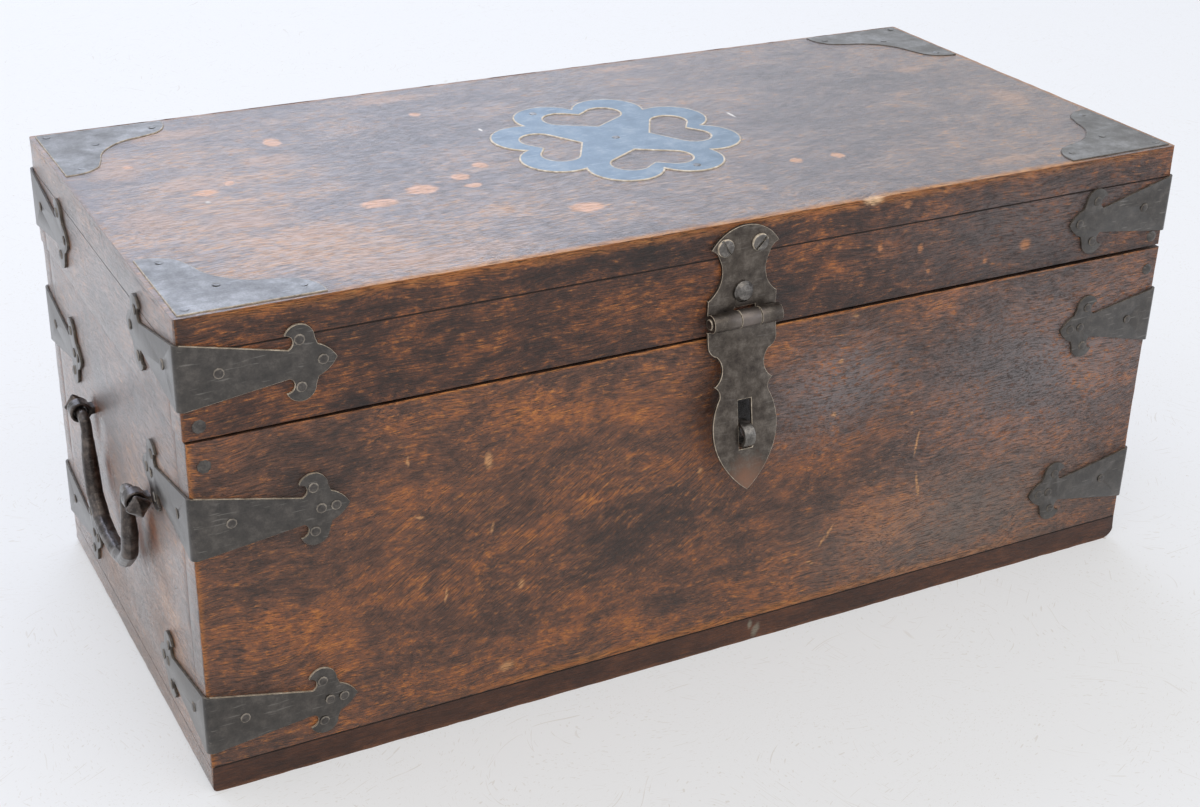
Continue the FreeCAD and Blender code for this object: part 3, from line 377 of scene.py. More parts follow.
# rust washed down from the eyes of the left handle, and below it warmer, duller wood: partly scuffed, partly
# painted shade towards the bottom
rustMarks = {
    "colour": "#7E4A2A", "ragged": 11, "soft": 0.0, "strength": 0.9, "bare": True,
    "spots": [leftSpot(36, 108, 9, 17, 6), leftSpot(22, 90, 11, 16, 6), leftSpot(-30, 80, 10, 20, 6),
              leftSpot(-54, 96, 10, 19, 6)],
}
scuffAndShadeLow = {
    "colour": "#7F5A3E", "ragged": 40, "soft": 0.0, "strength": 0.7, "bare": True,
    "spots": [leftSpot(-62, 78, 30, 26), leftSpot(-62, 46, 60, 34), leftSpot(40, 30, 90, 34),
              leftSpot(-20, 10, 130, 28)],
}
# lighter and darker places in the stain: x, z, reach across and up, lift
frontTones = [(-80, 30, 130, 20, 0.05), (90, 50, 60, 24, 0.05), (-30, 34, 26, 14, -0.08),
              (-70, 145, 60, 22, 0.03), (-190, 148, 50, 22, -0.05), (-40, 85, 70, 34, -0.04),
              (150, 125, 80, 40, -0.03), (215, 110, 30, 16, 0.05), (182, 113, 22, 12, -0.06),
              (-205, 66, 30, 30, 0.04), (185, 21, 66, 7, 0.08)]
lidTones = [(215, 190, 26, 10, 0.08), (-225, 178, 40, 8, 0.03), (-70, 213, 190, 7, -0.05),
            (60, 175, 120, 12, -0.03)]
toneThick = 9


def frontPatches(tones):
    return [(frontSpot(px, pz, across, high, thick=toneThick), lift) for px, pz, across, high, lift in tones]


# an edge lies where two planes meet; its span runs along X from, to, and fades over so many mm
darkShellac = {"grain": "X", "layers": plainLayers, "shares": evenShares, "spread": (0.38, 0.62), "wave": 8,
               "relief": 0.7, "tonePatches": [], "edges": [], "marks": []}
woodLooks = {
    # thinner and greyer from light and hands, the timber showing in orange rub marks
    "shellacTop": {
        **darkShellac, "wave": 10, "spread": (0.41, 0.6),
        "shares": {"drift": 0.24, "blotch": 0.28, "fleck": 0.2, "fibre": 0.28},
        "stain": [(0, "#3E332F"), (0.4, "#5D504C"), (0.7, "#776459"), (1, "#9F7C60")],
        "bare": [(0.3, "#8E5C36"), (0.5, "#B07A48"), (0.72, "#D3A674")], "rub": 0.68, "rubbed": 0.7,
        "pores": 0.7, "poreColour": "#2A1E1B", "gloss": 0.32, "relief": 0.45, "coat": 0.75, "shine": 0.55,
        "tonePatches": [(topSpot(-205, -20, 90, 130, toneThick), 0.07),
                        (topSpot(-120, -80, 150, 50, toneThick), 0.04),
                        (topSpot(150, 30, 120, 90, toneThick), -0.02)],
        "edges": [
            {"line": ("front", "top"), "reach": 4.5, "wear": 0.95, "span": (-186, 196, 14)},
            {"line": ("lidLeft", "top"), "reach": 2, "wear": 0.2},
            {"line": ("lidRight", "top"), "reach": 3, "wear": 0.75},
            {"line": ("back", "top"), "reach": 3, "wear": 0.5},
        ],
        "marks": [faintMarks, orangeMarks, paleSpecks, edgeChip],
    },
    # the warmest face, rubbed in drifts, with a patch of slanting figure and a painted sheen at the right
    "shellacFront": {
        **darkShellac, "wave": 14, "layers": slantLayers,
        "slantPatch": frontSpot(-80, 88, 150, 66, thick=60),
        "spread": (0.39, 0.61), "shares": blotchyShares,
        "stain": [(0, "#2C1A10"), (0.22, "#402618"), (0.5, "#5E3A26"), (0.78, "#844C26"), (1, "#A4622A")],
        "bare": bareTimber, "rub": 0.68, "rubbed": 0.65, "pores": 0.75, "poreColour": "#1C0F08",
        "gloss": 0.42, "relief": 0.8, "coat": 0.2, "shine": 0.45, "tonePatches": frontPatches(frontTones),
        "edges": [
            {"line": ("front", "lidLine"), "reach": 1.3, "wear": 0.9, "span": (-190, 251, 30)},
            {"line": ("left", "front"), "reach": 2.4, "wear": 0.7},
            {"line": ("right", "front"), "reach": 2, "wear": 0.5},
            {"line": ("front", "baseTop"), "reach": 2.5, "wear": 0.6, "span": (-120, 180, 30)},
        ],
        "marks": [sheenPaintedLowRight, sheenPaintedRight, frontScratches, shadowPaintedBehindSlot],
    },
    # darker than the front, since the top's edge shades it
    "shellacLid": {
        **darkShellac, "wave": 10, "spread": (0.4, 0.6), "shares": blotchyShares,
        "stain": [(0, "#1F1009"), (0.25, "#321B10"), (0.5, "#4A2B1B"), (0.78, "#75421F"), (1, "#985826")],
        "bare": bareTimber, "rub": 0.695, "rubbed": 0.62, "pores": 0.75, "poreColour": "#170B06",
        "gloss": 0.42, "coat": 0.15, "shine": 0.4, "tonePatches": frontPatches(lidTones),
        "edges": [
            {"line": ("lidLeft", "front"), "reach": 1.6, "wear": 0.5},
            {"line": ("lidRight", "front"), "reach": 2, "wear": 0.5},
            {"line": ("front", "top"), "reach": 4, "wear": 0.6, "span": (-240, 240, 12)},
        ],
        "marks": [sheenPaintedLid, lidScratches, edgeChip],
    },
    # dulled and reddened near the ground
    "shellacBase": {
        **darkShellac, "stain": [(0, "#24130B"), (0.5, "#432617"), (1, "#623A22")],
        "bare": [(0.3, "#6B4630"), (0.7, "#8A5E3E")], "rub": 0.86, "rubbed": 0.4, "pores": 0.45,
        "poreColour": "#160B07", "gloss": 0.46, "coat": 0.05, "shine": 0.36,
        "edges": [{"line": ("front", "bottom"), "reach": 1.6, "wear": 0.4}], "marks": [baseScuff],
    },
    # the fullest coat, its gloss pale at low angles
    "shellacEnd": {
        **darkShellac, "grain": "Y", "wave": 10, "spread": (0.4, 0.6),
        "shares": {"drift": 0.25, "blotch": 0.25, "fleck": 0.15, "fibre": 0.35},
        "stain": [(0, "#31201A"), (0.4, "#54392B"), (0.75, "#7E543A"), (1, "#AC7A4C")],
        "bare": bareTimber, "rub": 0.72, "rubbed": 0.6, "pores": 0.8, "poreColour": "#1A100B",
        "gloss": 0.22, "coat": 1.0, "shine": 0.8,
        "tonePatches": [(leftSpot(-75, 60, 40, 50, toneThick), 0.05)],
        "marks": [sheenPaintedEnd, scuffAndShadeLow, rustMarks],
    },
    # inside and on the rims, stained but never coated
    "rimWood": {
        **darkShellac, "stain": [(0, "#20150F"), (0.5, "#3B281D"), (1, "#5C4231")],
        "bare": [(0.3, "#5A3D28"), (0.7, "#7F5B3E")], "rub": 0.8, "rubbed": 0.4, "pores": 0.6,
        "poreColour": "#120A07", "gloss": 0.55, "coat": 0.0, "shine": 0.3,
    },
    # dust and wax in the joints, nearly black and dull
    "jointGrime": {
        **darkShellac, "stain": [(0, "#140C08"), (0.5, "#21150F"), (1, "#332219")],
        "bare": [(0.3, "#4A3020"), (0.7, "#6B482E")], "rub": 0.88, "rubbed": 0.3, "pores": 0.4,
        "poreColour": "#0E0806", "gloss": 0.6, "coat": 0.0, "shine": 0.3,
    },
}
wood = {name: wornWood(name, look) for name, look in woodLooks.items()}
print("wood materials ready")


# metal

ironSkin = {
    "gritMm": 0.8, "gritShare": 0.3, "toneFrom": 0.45, "toneTo": 0.85,
    "scratchStretch": (14, 1, 1.4), "scratchTurn": (0.3, 0.5, 0.4), "scratchMm": 0.7,
    "scratchFrom": 0.66, "scratchTo": 0.74, "rustFrom": 0.62, "rustTo": 0.72,
    "spotRagged": 1.2, "spotFrom": 1.6, "spotTo": 0.7,
    "mottleFrom": 0.3, "mottleTo": 0.7, "smoother": 0.08, "rougher": 0.1,
    "hammerHigh": 4.0, "scratchDeep": 0.6, "reliefMm": 0.12, "filmRough": 0.28,
}


def oldMetal(name, look):
    # forged and rolled sheet iron, never painted: a dark oxide skin with scratches down to greyer metal,
    # rust in the hollows and dull dust on what stands up
    material, tree, skin = newMaterial(name)
    inMm = placeInMm(tree)
    mottle = addNode(tree, "ShaderNodeTexNoise", {"Vector": inMm, "Scale": 1 / look["mottleMm"],
                                                  "Detail": 6.0, "Roughness": 0.68})
    grit = addNode(tree, "ShaderNodeTexNoise", {"Vector": inMm, "Scale": 1 / ironSkin["gritMm"],
                                                "Detail": 3.0, "Roughness": 0.7})
    hammered = addNode(tree, "ShaderNodeTexNoise", {"Vector": inMm, "Scale": 1 / look["hammerMm"],
                                                    "Detail": 1.0})
    drawn = addNode(tree, "ShaderNodeMapping", {"Vector": inMm, "Rotation": ironSkin["scratchTurn"],
                                                "Scale": [1 / v for v in ironSkin["scratchStretch"]]})
    scratch = addNode(tree, "ShaderNodeTexNoise", {"Vector": drawn.outputs[0], "Detail": 1.0,
                                                   "Scale": 1 / ironSkin["scratchMm"]})
    scratches = addNode(tree, "ShaderNodeMapRange", {"Value": scratch.outputs[0], "To Max": look["scratches"],
                                                     "From Min": ironSkin["scratchFrom"],
                                                     "From Max": ironSkin["scratchTo"]}).outputs[0]
    rust = addNode(tree, "ShaderNodeMapRange", {"Value": mottle.outputs["Color"], "To Max": look["rust"],
                                                "From Min": ironSkin["rustFrom"],
                                                "From Max": ironSkin["rustTo"]}).outputs[0]
    tone = addUp(tree, mottle.outputs[0], [(grit.outputs[0], ironSkin["gritShare"])])
    tone = addNode(tree, "ShaderNodeMapRange", {"Value": tone, "From Min": ironSkin["toneFrom"],
                                                "From Max": ironSkin["toneTo"]})
    colour = addNode(tree, "ShaderNodeValToRGB", {"Fac": tone.outputs[0]}, ramp=look["tones"]).outputs[0]
    tints = [(rust, look["rustColour"]), (scratches, look["scratchColour"])]
    for x, y, z, reach, strength, tint in look["spots"]:
        # a round stain: x, y, z and reach in mm
        sized = addNode(tree, "ShaderNodeMapping", {"Vector": inMm, "Scale": (1 / reach,) * 3,
                                                    "Location": (-x / reach, -y / reach, -z / reach)})
        far = addNode(tree, "ShaderNodeVectorMath", {0: sized.outputs[0]}, operation="LENGTH")
        ragged = addUp(tree, far.outputs["Value"], [(mottle.outputs[0], ironSkin["spotRagged"])])
        near = addNode(tree, "ShaderNodeMapRange", {"Value": ragged, "From Min": ironSkin["spotFrom"],
                                                    "From Max": ironSkin["spotTo"], "To Max": strength})
        tints.append((near.outputs[0], tint))
    for share, tint in tints:
        colour = addNode(tree, "ShaderNodeMix", {"Factor": share, 6: colour, 7: tint},
                         data_type="RGBA").outputs[2]
    tree.links.new(colour, skin.inputs["Base Color"])
    rough = addNode(tree, "ShaderNodeMapRange", {"Value": mottle.outputs[0],
                                                 "From Min": ironSkin["mottleFrom"],
                                                 "From Max": ironSkin["mottleTo"],
                                                 "To Min": look["rough"] - ironSkin["smoother"],
                                                 "To Max": look["rough"] + ironSkin["rougher"]})
    tree.links.new(rough.outputs[0], skin.inputs["Roughness"])
    relief = addUp(tree, grit.outputs[0], [(hammered.outputs[0], ironSkin["hammerHigh"]),
                                           (scratches, -ironSkin["scratchDeep"])])
    bump = addNode(tree, "ShaderNodeBump", {"Height": relief, "Distance": ironSkin["reliefMm"] * mm,
                                            "Strength": look["relief"]})
    tree.links.new(bump.outputs[0], skin.inputs["Normal"])
    skin.inputs["Metallic"].default_value = look["metallic"]
    # a film of oil and old shellac, dark from the front and pale at low angles
    skin.inputs["Coat Weight"].default_value = look["film"]
    skin.inputs["Coat Roughness"].default_value = ironSkin["filmRough"]
    return material


oldIron = {"mottleMm": 3, "hammerMm": 4, "scratches": 0.2, "rust": 0.4, "relief": 0.3, "film": 0, "spots": []}
metalLooks = {
    # blackened at the forge and oiled, hammer marks under the film
    "strapIron": {**oldIron, "film": 0.9, "tones": [(0, "#2A2622"), (0.5, "#3E3934"), (1, "#57514B")],
                  "mottleMm": 5, "hammerMm": 5, "scratches": 0.35, "scratchColour": "#8E8982", "rust": 0.35,
                  "rustColour": "#5B4334", "rough": 0.46, "relief": 0.5, "metallic": 0.85},
    # thin rolled sheet, smoother and bluer, rusty in places
    "plateIron": {**oldIron, "tones": [(0, "#4C4945"), (0.5, "#72706C"), (1, "#969491")], "mottleMm": 12,
                  "hammerMm": 14, "scratches": 0.3, "scratchColour": "#B4B5B6", "rust": 0.75,
                  "rustColour": "#76583F", "rough": 0.36, "metallic": 0.7},
    # cold rolled sheet in a light blue grey: partly its own patina, partly a painted reflection of the window
    "rosetteSheet": {**oldIron, "tones": [(0, "#62717C"), (0.5, "#74828B"), (1, "#8E979C")], "mottleMm": 9,
                     "hammerMm": 12, "scratches": 0.45, "scratchColour": "#B9BDBE", "rust": 0.5,
                     "rustColour": "#85827C", "rough": 0.42, "metallic": 0.75},
    # filed edges, rubbed and dusty and paler still as a painted highlight where they catch the light: palest
    # on the rosette; dull where grime has filled them at the right end, and dull as painted shade on the end
    # boards
    "wornRimAndHighlight": {**oldIron, "tones": [(0, "#877B6B"), (0.5, "#B9AB96"), (1, "#DCD1BF")],
                "scratchColour": "#E0D8CA", "rustColour": "#7A6047", "rough": 0.6, "metallic": 0.0},
    "strapRimAndHighlight": {**oldIron, "tones": [(0, "#6F6558"), (0.5, "#9C8F7D"), (1, "#C4B8A5")],
                 "scratchColour": "#D8D0C2", "rustColour": "#6A5140", "rough": 0.58, "metallic": 0.1},
    "dullRimAndShade": {**oldIron, "tones": [(0, "#3A352F"), (0.5, "#544D45"), (1, "#746C61")],
                "scratchColour": "#8E867A", "rustColour": "#5A4334", "rough": 0.55, "metallic": 0.3},
    "nailRim": {**oldIron, "tones": [(0, "#504A43"), (0.5, "#726A60"), (1, "#948B7E")], "rust": 0.3,
                "scratchColour": "#B0A698", "rustColour": "#6A5140", "rough": 0.55, "metallic": 0.3},
    # hand forged heads, a little brighter than the straps from wear
    "nailIron": {**oldIron, "film": 0.6, "tones": [(0, "#2F2B28"), (0.5, "#47423E"), (1, "#625C56")],
                 "hammerMm": 2, "scratches": 0.3, "scratchColour": "#8A857E", "rustColour": "#5A4436",
                 "rough": 0.46, "relief": 0.6, "metallic": 0.85},
    # turned steel, grey and fairly bright
    "screwSteel": {**oldIron, "tones": [(0, "#4A4744"), (0.5, "#6B6763"), (1, "#8C8781")], "hammerMm": 3,
                   "scratches": 0.4, "scratchColour": "#A8A39B", "rust": 0.3, "rustColour": "#5E4A3C",
                   "rough": 0.4, "relief": 0.4, "metallic": 0.95},
    # forged plate, browner at the tip from rust and paler at the knuckle
    "haspSteel": {**oldIron, "tones": [(0, "#3F3935"), (0.5, "#575049"), (1, "#736B63")], "mottleMm": 5,
                  "hammerMm": 6, "scratches": 0.15, "scratchColour": "#98928C", "rustColour": "#63493A",
                  "rough": 0.43, "relief": 0.5, "metallic": 0.9,
                  "spots": [(1.8, -130, 99, 15, 0.8, "#96705C"), (1.8, -127, 177.7, 11, 0.4, "#A0958F")]},
    # forged bar polished by hands
    "handleIron": {**oldIron, "film": 0.6, "tones": [(0, "#241E1B"), (0.5, "#3E3631"), (1, "#6A5F57")],
                   "mottleMm": 5, "scratchColour": "#A39D96", "rust": 0.35, "rustColour": "#4A3328",
                   "rough": 0.3, "relief": 0.8, "metallic": 0.92},
    # bent wire, kept bright by the hasp
    "stapleSteel": {**oldIron, "tones": [(0, "#55524E"), (0.5, "#7B7772"), (1, "#A19C95")], "hammerMm": 3,
                    "scratches": 0.4, "scratchColour": "#B8B3AA", "rust": 0.35, "rustColour": "#6A5140",
                    "rough": 0.36, "relief": 0.5, "metallic": 0.95},
}
metal = {name: oldMetal(name, look) for name, look in metalLooks.items()}
print("metal materials ready")


# modelling helpers

bodyOf = {node: body for body, group in frame["record"]["behaviour"]["bodies"].items() for node in group}


def pick(piece):
    if bpy.context.mode != "OBJECT":
        bpy.ops.object.mode_set(mode="OBJECT")
    bpy.ops.object.select_all(action="DESELECT")
    piece.hide_viewport = False
    piece.select_set(True)
    bpy.context.view_layer.objects.active = piece


def editAll(piece):
    pick(piece)
    bpy.ops.object.mode_set(mode="EDIT")
    bpy.ops.mesh.select_all(action="SELECT")


def editSome(piece, kind, wanted):
    # edit mode with only the wanted edges or faces selected
    editAll(piece)
    bpy.ops.mesh.select_mode(type=kind)
    bpy.ops.mesh.select_all(action="DESELECT")
    bpy.ops.object.mode_set(mode="OBJECT")
    for part in piece.data.edges if kind == "EDGE" else piece.data.polygons:
        part.select = bool(wanted(part))
    bpy.ops.object.mode_set(mode="EDIT")


def newest(name):
    # the primitive that was just added, with its size applied
    piece = bpy.context.object
    piece.name = piece.data.name = name
    bpy.ops.object.transform_apply(location=True, rotation=True, scale=True)
    return piece


def copyOfNode(nodeName, pieceName):
    # a mesh of its own with the loose triangles joined up
    piece = frame["nodes"][nodeName].copy()
    piece.data = piece.data.copy()
    piece.parent = None
    piece.name = piece.data.name = pieceName
    for key in [k for k in piece.keys() if k.startswith("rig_")]:
        del piece[key]
    bpy.context.scene.collection.objects.link(piece)
    editAll(piece)
    bpy.ops.mesh.remove_doubles(threshold=0.01 * mm)
    bpy.ops.object.mode_set(mode="OBJECT")
    return piece


def dress(piece, materials):
    piece.data.materials.clear()
    for material in materials:
        piece.data.materials.append(material)


def applyModifier(piece, kind, **settings):
    pick(piece)
    modifier = piece.modifiers.new(kind.lower(), kind)
    for option, value in settings.items():
        setattr(modifier, option, value)
    bpy.ops.object.modifier_apply(modifier=modifier.name)


def smoothTo(piece, degrees):
    pick(piece)
    bpy.ops.object.shade_smooth_by_angle(angle=radians(degrees))


def bevelEdges(piece, wanted, width, segments):
    # rounds the edges whose two ends pass the test
    spots = [v.co.copy() for v in piece.data.vertices]
    editSome(piece, "EDGE", lambda edge: wanted(spots[edge.vertices[0]], spots[edge.vertices[1]]))
    if piece.data.total_edge_sel:
        bpy.ops.mesh.bevel(offset=width * mm, segments=segments, affect="EDGES")
    bpy.ops.object.mode_set(mode="OBJECT")


def keepInside(piece, node):
    # wear only takes wood or iron away, so nothing stands out of the sound part's box
    low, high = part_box(node)
    for corner in piece.data.vertices:
        corner.co = [min(max(v, l), h) for v, l, h in zip(corner.co, low, high)]


def settle(piece, body, nodes):
    pick(piece)
    bpy.ops.object.transform_apply(location=True, rotation=True, scale=True)
    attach(piece, body)
    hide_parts(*nodes)


# boards

boards = {
    "base_board": "shellacBase", "front_board": "shellacFront", "back_board": "shellacFront",
    "left_end_board": "shellacEnd", "right_end_board": "shellacEnd", "lid_top_board": "shellacTop",
    "lid_front_rail": "shellacLid", "lid_back_rail": "shellacLid", "lid_left_rail": "shellacEnd",
    "lid_right_rail": "shellacEnd",
}
# in mm, and degrees for smooth; the lid line is where lid and body meet
boardWork = {
    "rounds": {"upright": 1.5, "lidTop": 2.4, "seam": 0.4, "baseRight": 7, "baseLeft": 2.5, "joint": 0.42,
               "endJoint": 0.2},
    "lidLineZone": (150, 180), "rims": (166, 172), "railFeet": 180, "gapUnderLid": (0.1, 0.65),
    "longest": 500, "inJointLonger": 12, "cell": 6, "wornBand": 2.5, "chips": 0.7, "warp": 0.35,
    "grimeBand": 0.45, "smooth": 40,
    "chip": {"spot": (70, -117.5, 222), "reach": 7, "push": (0, 1.3, -1.6)},
}
sides = {"body": ("left", "right", "front", "back", "bottom", "lidLine"),
         "lid": ("lidLeft", "lidRight", "front", "back", "top")}
slowWarp = bpy.data.textures.new("slowWarp", "CLOUDS")
slowWarp.noise_scale = 45 * mm
chipNoise = bpy.data.textures.new("chipNoise", "CLOUDS")
chipNoise.noise_scale = 5 * mm
chipNoise.noise_depth = 2


def makeBoard(node, skinName):
    # a sawn board: its outer edges rounded by wear, its joints with their neighbours left as fine grooves
    low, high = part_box(node)
    lid, rounds = node.startswith("lid_"), boardWork["rounds"]
    outer = [planes[side] for side in sides["lid" if lid else "body"]]
    bpy.ops.object.select_all(action="DESELECT")
    bpy.ops.mesh.primitive_cube_add(size=1, location=(low + high) / 2, scale=high - low)
    piece = newest(node + "_worn")
    if node.endswith("_rail"):
        # the gap under the lid opens towards the right
        gapLeft, gapRight = boardWork["gapUnderLid"]
        for corner in piece.data.vertices:
            if corner.co.z < boardWork["railFeet"] * mm:
                along = corner.co.x / (boardWork["longest"] * mm) + 0.5
                corner.co.z += (gapLeft + along * (gapRight - gapLeft)) * mm

    def outside(*spots, within=0.1):
        # the axes on which all the spots lie on the chest's outer planes
        return {axis for axis, at in outer
                if all(abs(spot["XYZ".index(axis)] - at * mm) < within * mm for spot in spots)}

    def atLidLine(a, b):
        return boardWork["lidLineZone"][0] * mm < (a.z + b.z) / 2 < boardWork["lidLineZone"][1] * mm

    def runsInJoint(a, b):
        return (a - b).length > boardWork["inJointLonger"] * mm and not atLidLine(a, b)

    if node == "base_board":
        bevelEdges(piece, lambda a, b: outside(a, b) == {"X", "Z"} and max(a.z, b.z) < mm and a.x > 0,
                   rounds["baseRight"], 6)
        bevelEdges(piece, lambda a, b: outside(a, b) == {"X", "Z"} and max(a.z, b.z) < mm and a.x < 0,
                   rounds["baseLeft"], 3)
    bevelEdges(piece, lambda a, b: outside(a, b) == {"X", "Y"} and abs((a - b).z) > 3 * mm,
               rounds["upright"], 3)
    if lid:
        bevelEdges(piece, lambda a, b: "Z" in outside(a, b) and len(outside(a, b)) == 2, rounds["lidTop"], 4)
    bevelEdges(piece, lambda a, b: outside(a, b) & {"X", "Y"} and abs((a - b).z) < 2 * mm and atLidLine(a, b),
               rounds["seam"], 2)
    bevelEdges(piece, lambda a, b: outside(a, b) == {"Y"} and runsInJoint(a, b), rounds["joint"], 2)
    bevelEdges(piece, lambda a, b: outside(a, b) <= {"X"} and runsInJoint(a, b), rounds["endJoint"], 1)

    # cut into cells, so that wear has something to move
    editAll(piece)
    for i in range(3):
        cuts = int((high[i] - low[i]) / (boardWork["cell"] * mm))
        for k in range(1, cuts):
            spot, facing = Vector(low), Vector((0, 0, 0))
            spot[i] = low[i] + (high[i] - low[i]) * k / cuts
            facing[i] = 1
            bpy.ops.mesh.select_all(action="SELECT")
            bpy.ops.mesh.bisect(plane_co=spot, plane_no=facing)
    bpy.ops.object.mode_set(mode="OBJECT")
    edges = piece.vertex_groups.new(name="wornEdges")
    edges.add([v.index for v in piece.data.vertices if len(outside(v.co, within=boardWork["wornBand"])) >= 2],
              1, "REPLACE")
    applyModifier(piece, "DISPLACE", texture=chipNoise, strength=-boardWork["chips"] * mm, mid_level=0.35,
                  vertex_group="wornEdges", texture_coords="LOCAL")
    applyModifier(piece, "DISPLACE", texture=slowWarp, strength=boardWork["warp"] * mm, mid_level=0.6,
                  texture_coords="LOCAL")
    if node == "lid_top_board":
        chip = boardWork["chip"]
        for corner in piece.data.vertices:
            deep = 1 - (corner.co - Vector(chip["spot"]) * mm).length / (chip["reach"] * mm)
            if deep > 0:
                corner.co += Vector(chip["push"]) * deep * mm
    keepInside(piece, node)
    smoothTo(piece, boardWork["smooth"])

    # bare wood inside and on the rims that meet at the lid line, dirt in the joint between two boards
    finishes = {"skin": skinName, "joint": "jointGrime", "topSide": "shellacLid", "end": "shellacEnd",
                "rim": "rimWood"}
    dress(piece, [wood[name] for name in finishes.values()])
    joint = high.z if node == "base_board" or node.endswith("_rail") else low.z
    rimLow, rimHigh = boardWork["rims"]
    for face in piece.data.polygons:
        spot, facing, finish = face.center, face.normal, "skin"
        inJoint = abs(spot.z - joint) < boardWork["grimeBand"] * mm
        if abs(facing.z) > 0.9 and (inJoint or rimLow * mm < spot.z < rimHigh * mm):
            finish = "rim"
        elif inJoint:
            finish = "joint"
        elif node == "lid_top_board" and abs(facing.y) > 0.8:
            finish = "topSide"
        elif abs(facing.x) > 0.8:
            finish = "end"
        face.material_index = list(finishes).index(finish)
    settle(piece, bodyOf[node], [node])
    return piece


madeBoards = [makeBoard(node, skinName) for node, skinName in boards.items()]
print("boards:", sum(len(board.data.polygons) for board in madeBoards), "faces")


# sheet iron

# in mm: filed rounds the cut edge, band is the bright border on the face, worn and with a painted highlight,
# sunk lets it into the board
sheetLooks = {
    "strap": {"skin": "strapIron", "rim": "strapRimAndHighlight", "slot": "strap_iron", "filed": 0.45, "band": 0,
              "sunk": 0},
    "cornerPlate": {"skin": "plateIron", "rim": "strapRimAndHighlight", "slot": "plate_iron", "filed": 0.3, "band": 0.45,
                    "sunk": 0.35},
    "rosette": {"skin": "rosetteSheet", "rim": "wornRimAndHighlight", "slot": "rosette_paint", "filed": 0.45, "band": 0.9,
                "sunk": 0.35},
    "hasp": {"skin": "haspSteel", "rim": "strapRimAndHighlight", "slot": "hasp_steel", "filed": 0.45, "band": 0,
             "sunk": 0},
}
strapBend = {"endsBeyond": 249.5, "sidesBeyond": 116, "dullBeyond": 250.8}


def sheetKind(node):
    if "_strap_front" in node or "_strap_back" in node:
        return "strap"
    if "corner_plate" in node:
        return "cornerPlate"
    if node == "lid_rosette":
        return "rosette"
    if "_leaf_" in node or "hinge_pin" in node or node in ("hasp_plate", "hasp_upper_plate", "hasp_pin"):
        return "hasp"


def cutWall(kind, spot, facing):
    # whether a face is part of the sheet's cut edge, not of its flat sides
    if kind in ("cornerPlate", "rosette"):
        return abs(facing.z) < 0.6
    if kind == "strap":
        if abs(spot.x) < strapBend["endsBeyond"] * mm:
            return abs(facing.y) < 0.6
        return abs(facing.x) < 0.6 if abs(spot.y) < strapBend["sidesBeyond"] * mm else abs(facing.z) > 0.6
    return False


def makeSheet(node, kind):
    # cut from sheet, its cut edge filed round and rubbed bright
    look = sheetLooks[kind]
    piece = copyOfNode(node, node + "_filed")
    for corner in piece.data.vertices:
        corner.co.z -= look["sunk"] * mm
    editAll(piece)
    bpy.ops.mesh.dissolve_limited(angle_limit=radians(3))
    bpy.ops.object.mode_set(mode="OBJECT")
    # the right end's edges are duller
    rim = "dullRimAndShade" if node.endswith("_right") else look["rim"]
    dress(piece, [metal[look["skin"]], metal[rim], metal["dullRimAndShade"]])
    if look["band"]:
        editSome(piece, "FACE", lambda face: face.normal.z > 0.9)
        bpy.ops.mesh.inset(thickness=look["band"] * mm, depth=0)
        bpy.ops.object.mode_set(mode="OBJECT")
    # the cut edge and the border take the rim material; where it is pale, that is partly a painted highlight
    for face in piece.data.polygons:
        border = look["band"] and face.normal.z > 0.9 and not face.select
        face.material_index = 1 if border or cutWall(kind, face.center, face.normal) else 0
    applyModifier(piece, "BEVEL", width=look["filed"] * mm, segments=2, limit_method="ANGLE",
                  angle_limit=radians(38), material=1)
    for face in piece.data.polygons:
        # painted shade on the rims of the straps on the end boards
        if kind == "strap" and face.material_index == 1 and abs(face.center.x) > strapBend["dullBeyond"] * mm:
            face.material_index = 2
    smoothTo(piece, 35)
    settle(piece, bodyOf[node], [node])


for node in sorted(frame["nodes"]):
    if sheetKind(node):
        makeSheet(node, sheetKind(node))
print("sheet iron filed")


# nails, tacks, spikes, screws

def drivenSpots(node):
    # where each fastener's head sits and which way it faces, read from the loose parts of a node
    parts = copyOfNode(node, node + "_parts")
    bpy.ops.mesh.separate(type="LOOSE")
    spots = []
    for part in list(bpy.context.selected_objects):
        corners = [v.co for v in part.data.vertices]
        low = Vector([min(c[i] for c in corners) for i in range(3)])
        high = Vector([max(c[i] for c in corners) for i in range(3)])
        along = max(range(3), key=lambda i: high[i] - low[i])
        middle = (low + high) / 2
        # the head is the wide end
        wide = max(corners, key=lambda c: sum((c[i] - middle[i]) ** 2 for i in range(3) if i != along))
        facing = Vector((0, 0, 0))
        facing[along] = 1 if wide[along] > middle[along] else -1
        middle[along] = high[along] if facing[along] > 0 else low[along]
        spots.append((middle, facing))
        bpy.data.objects.remove(part)
    return sorted(spots, key=lambda spot: tuple(round(v, 5) for v in spot[0]))


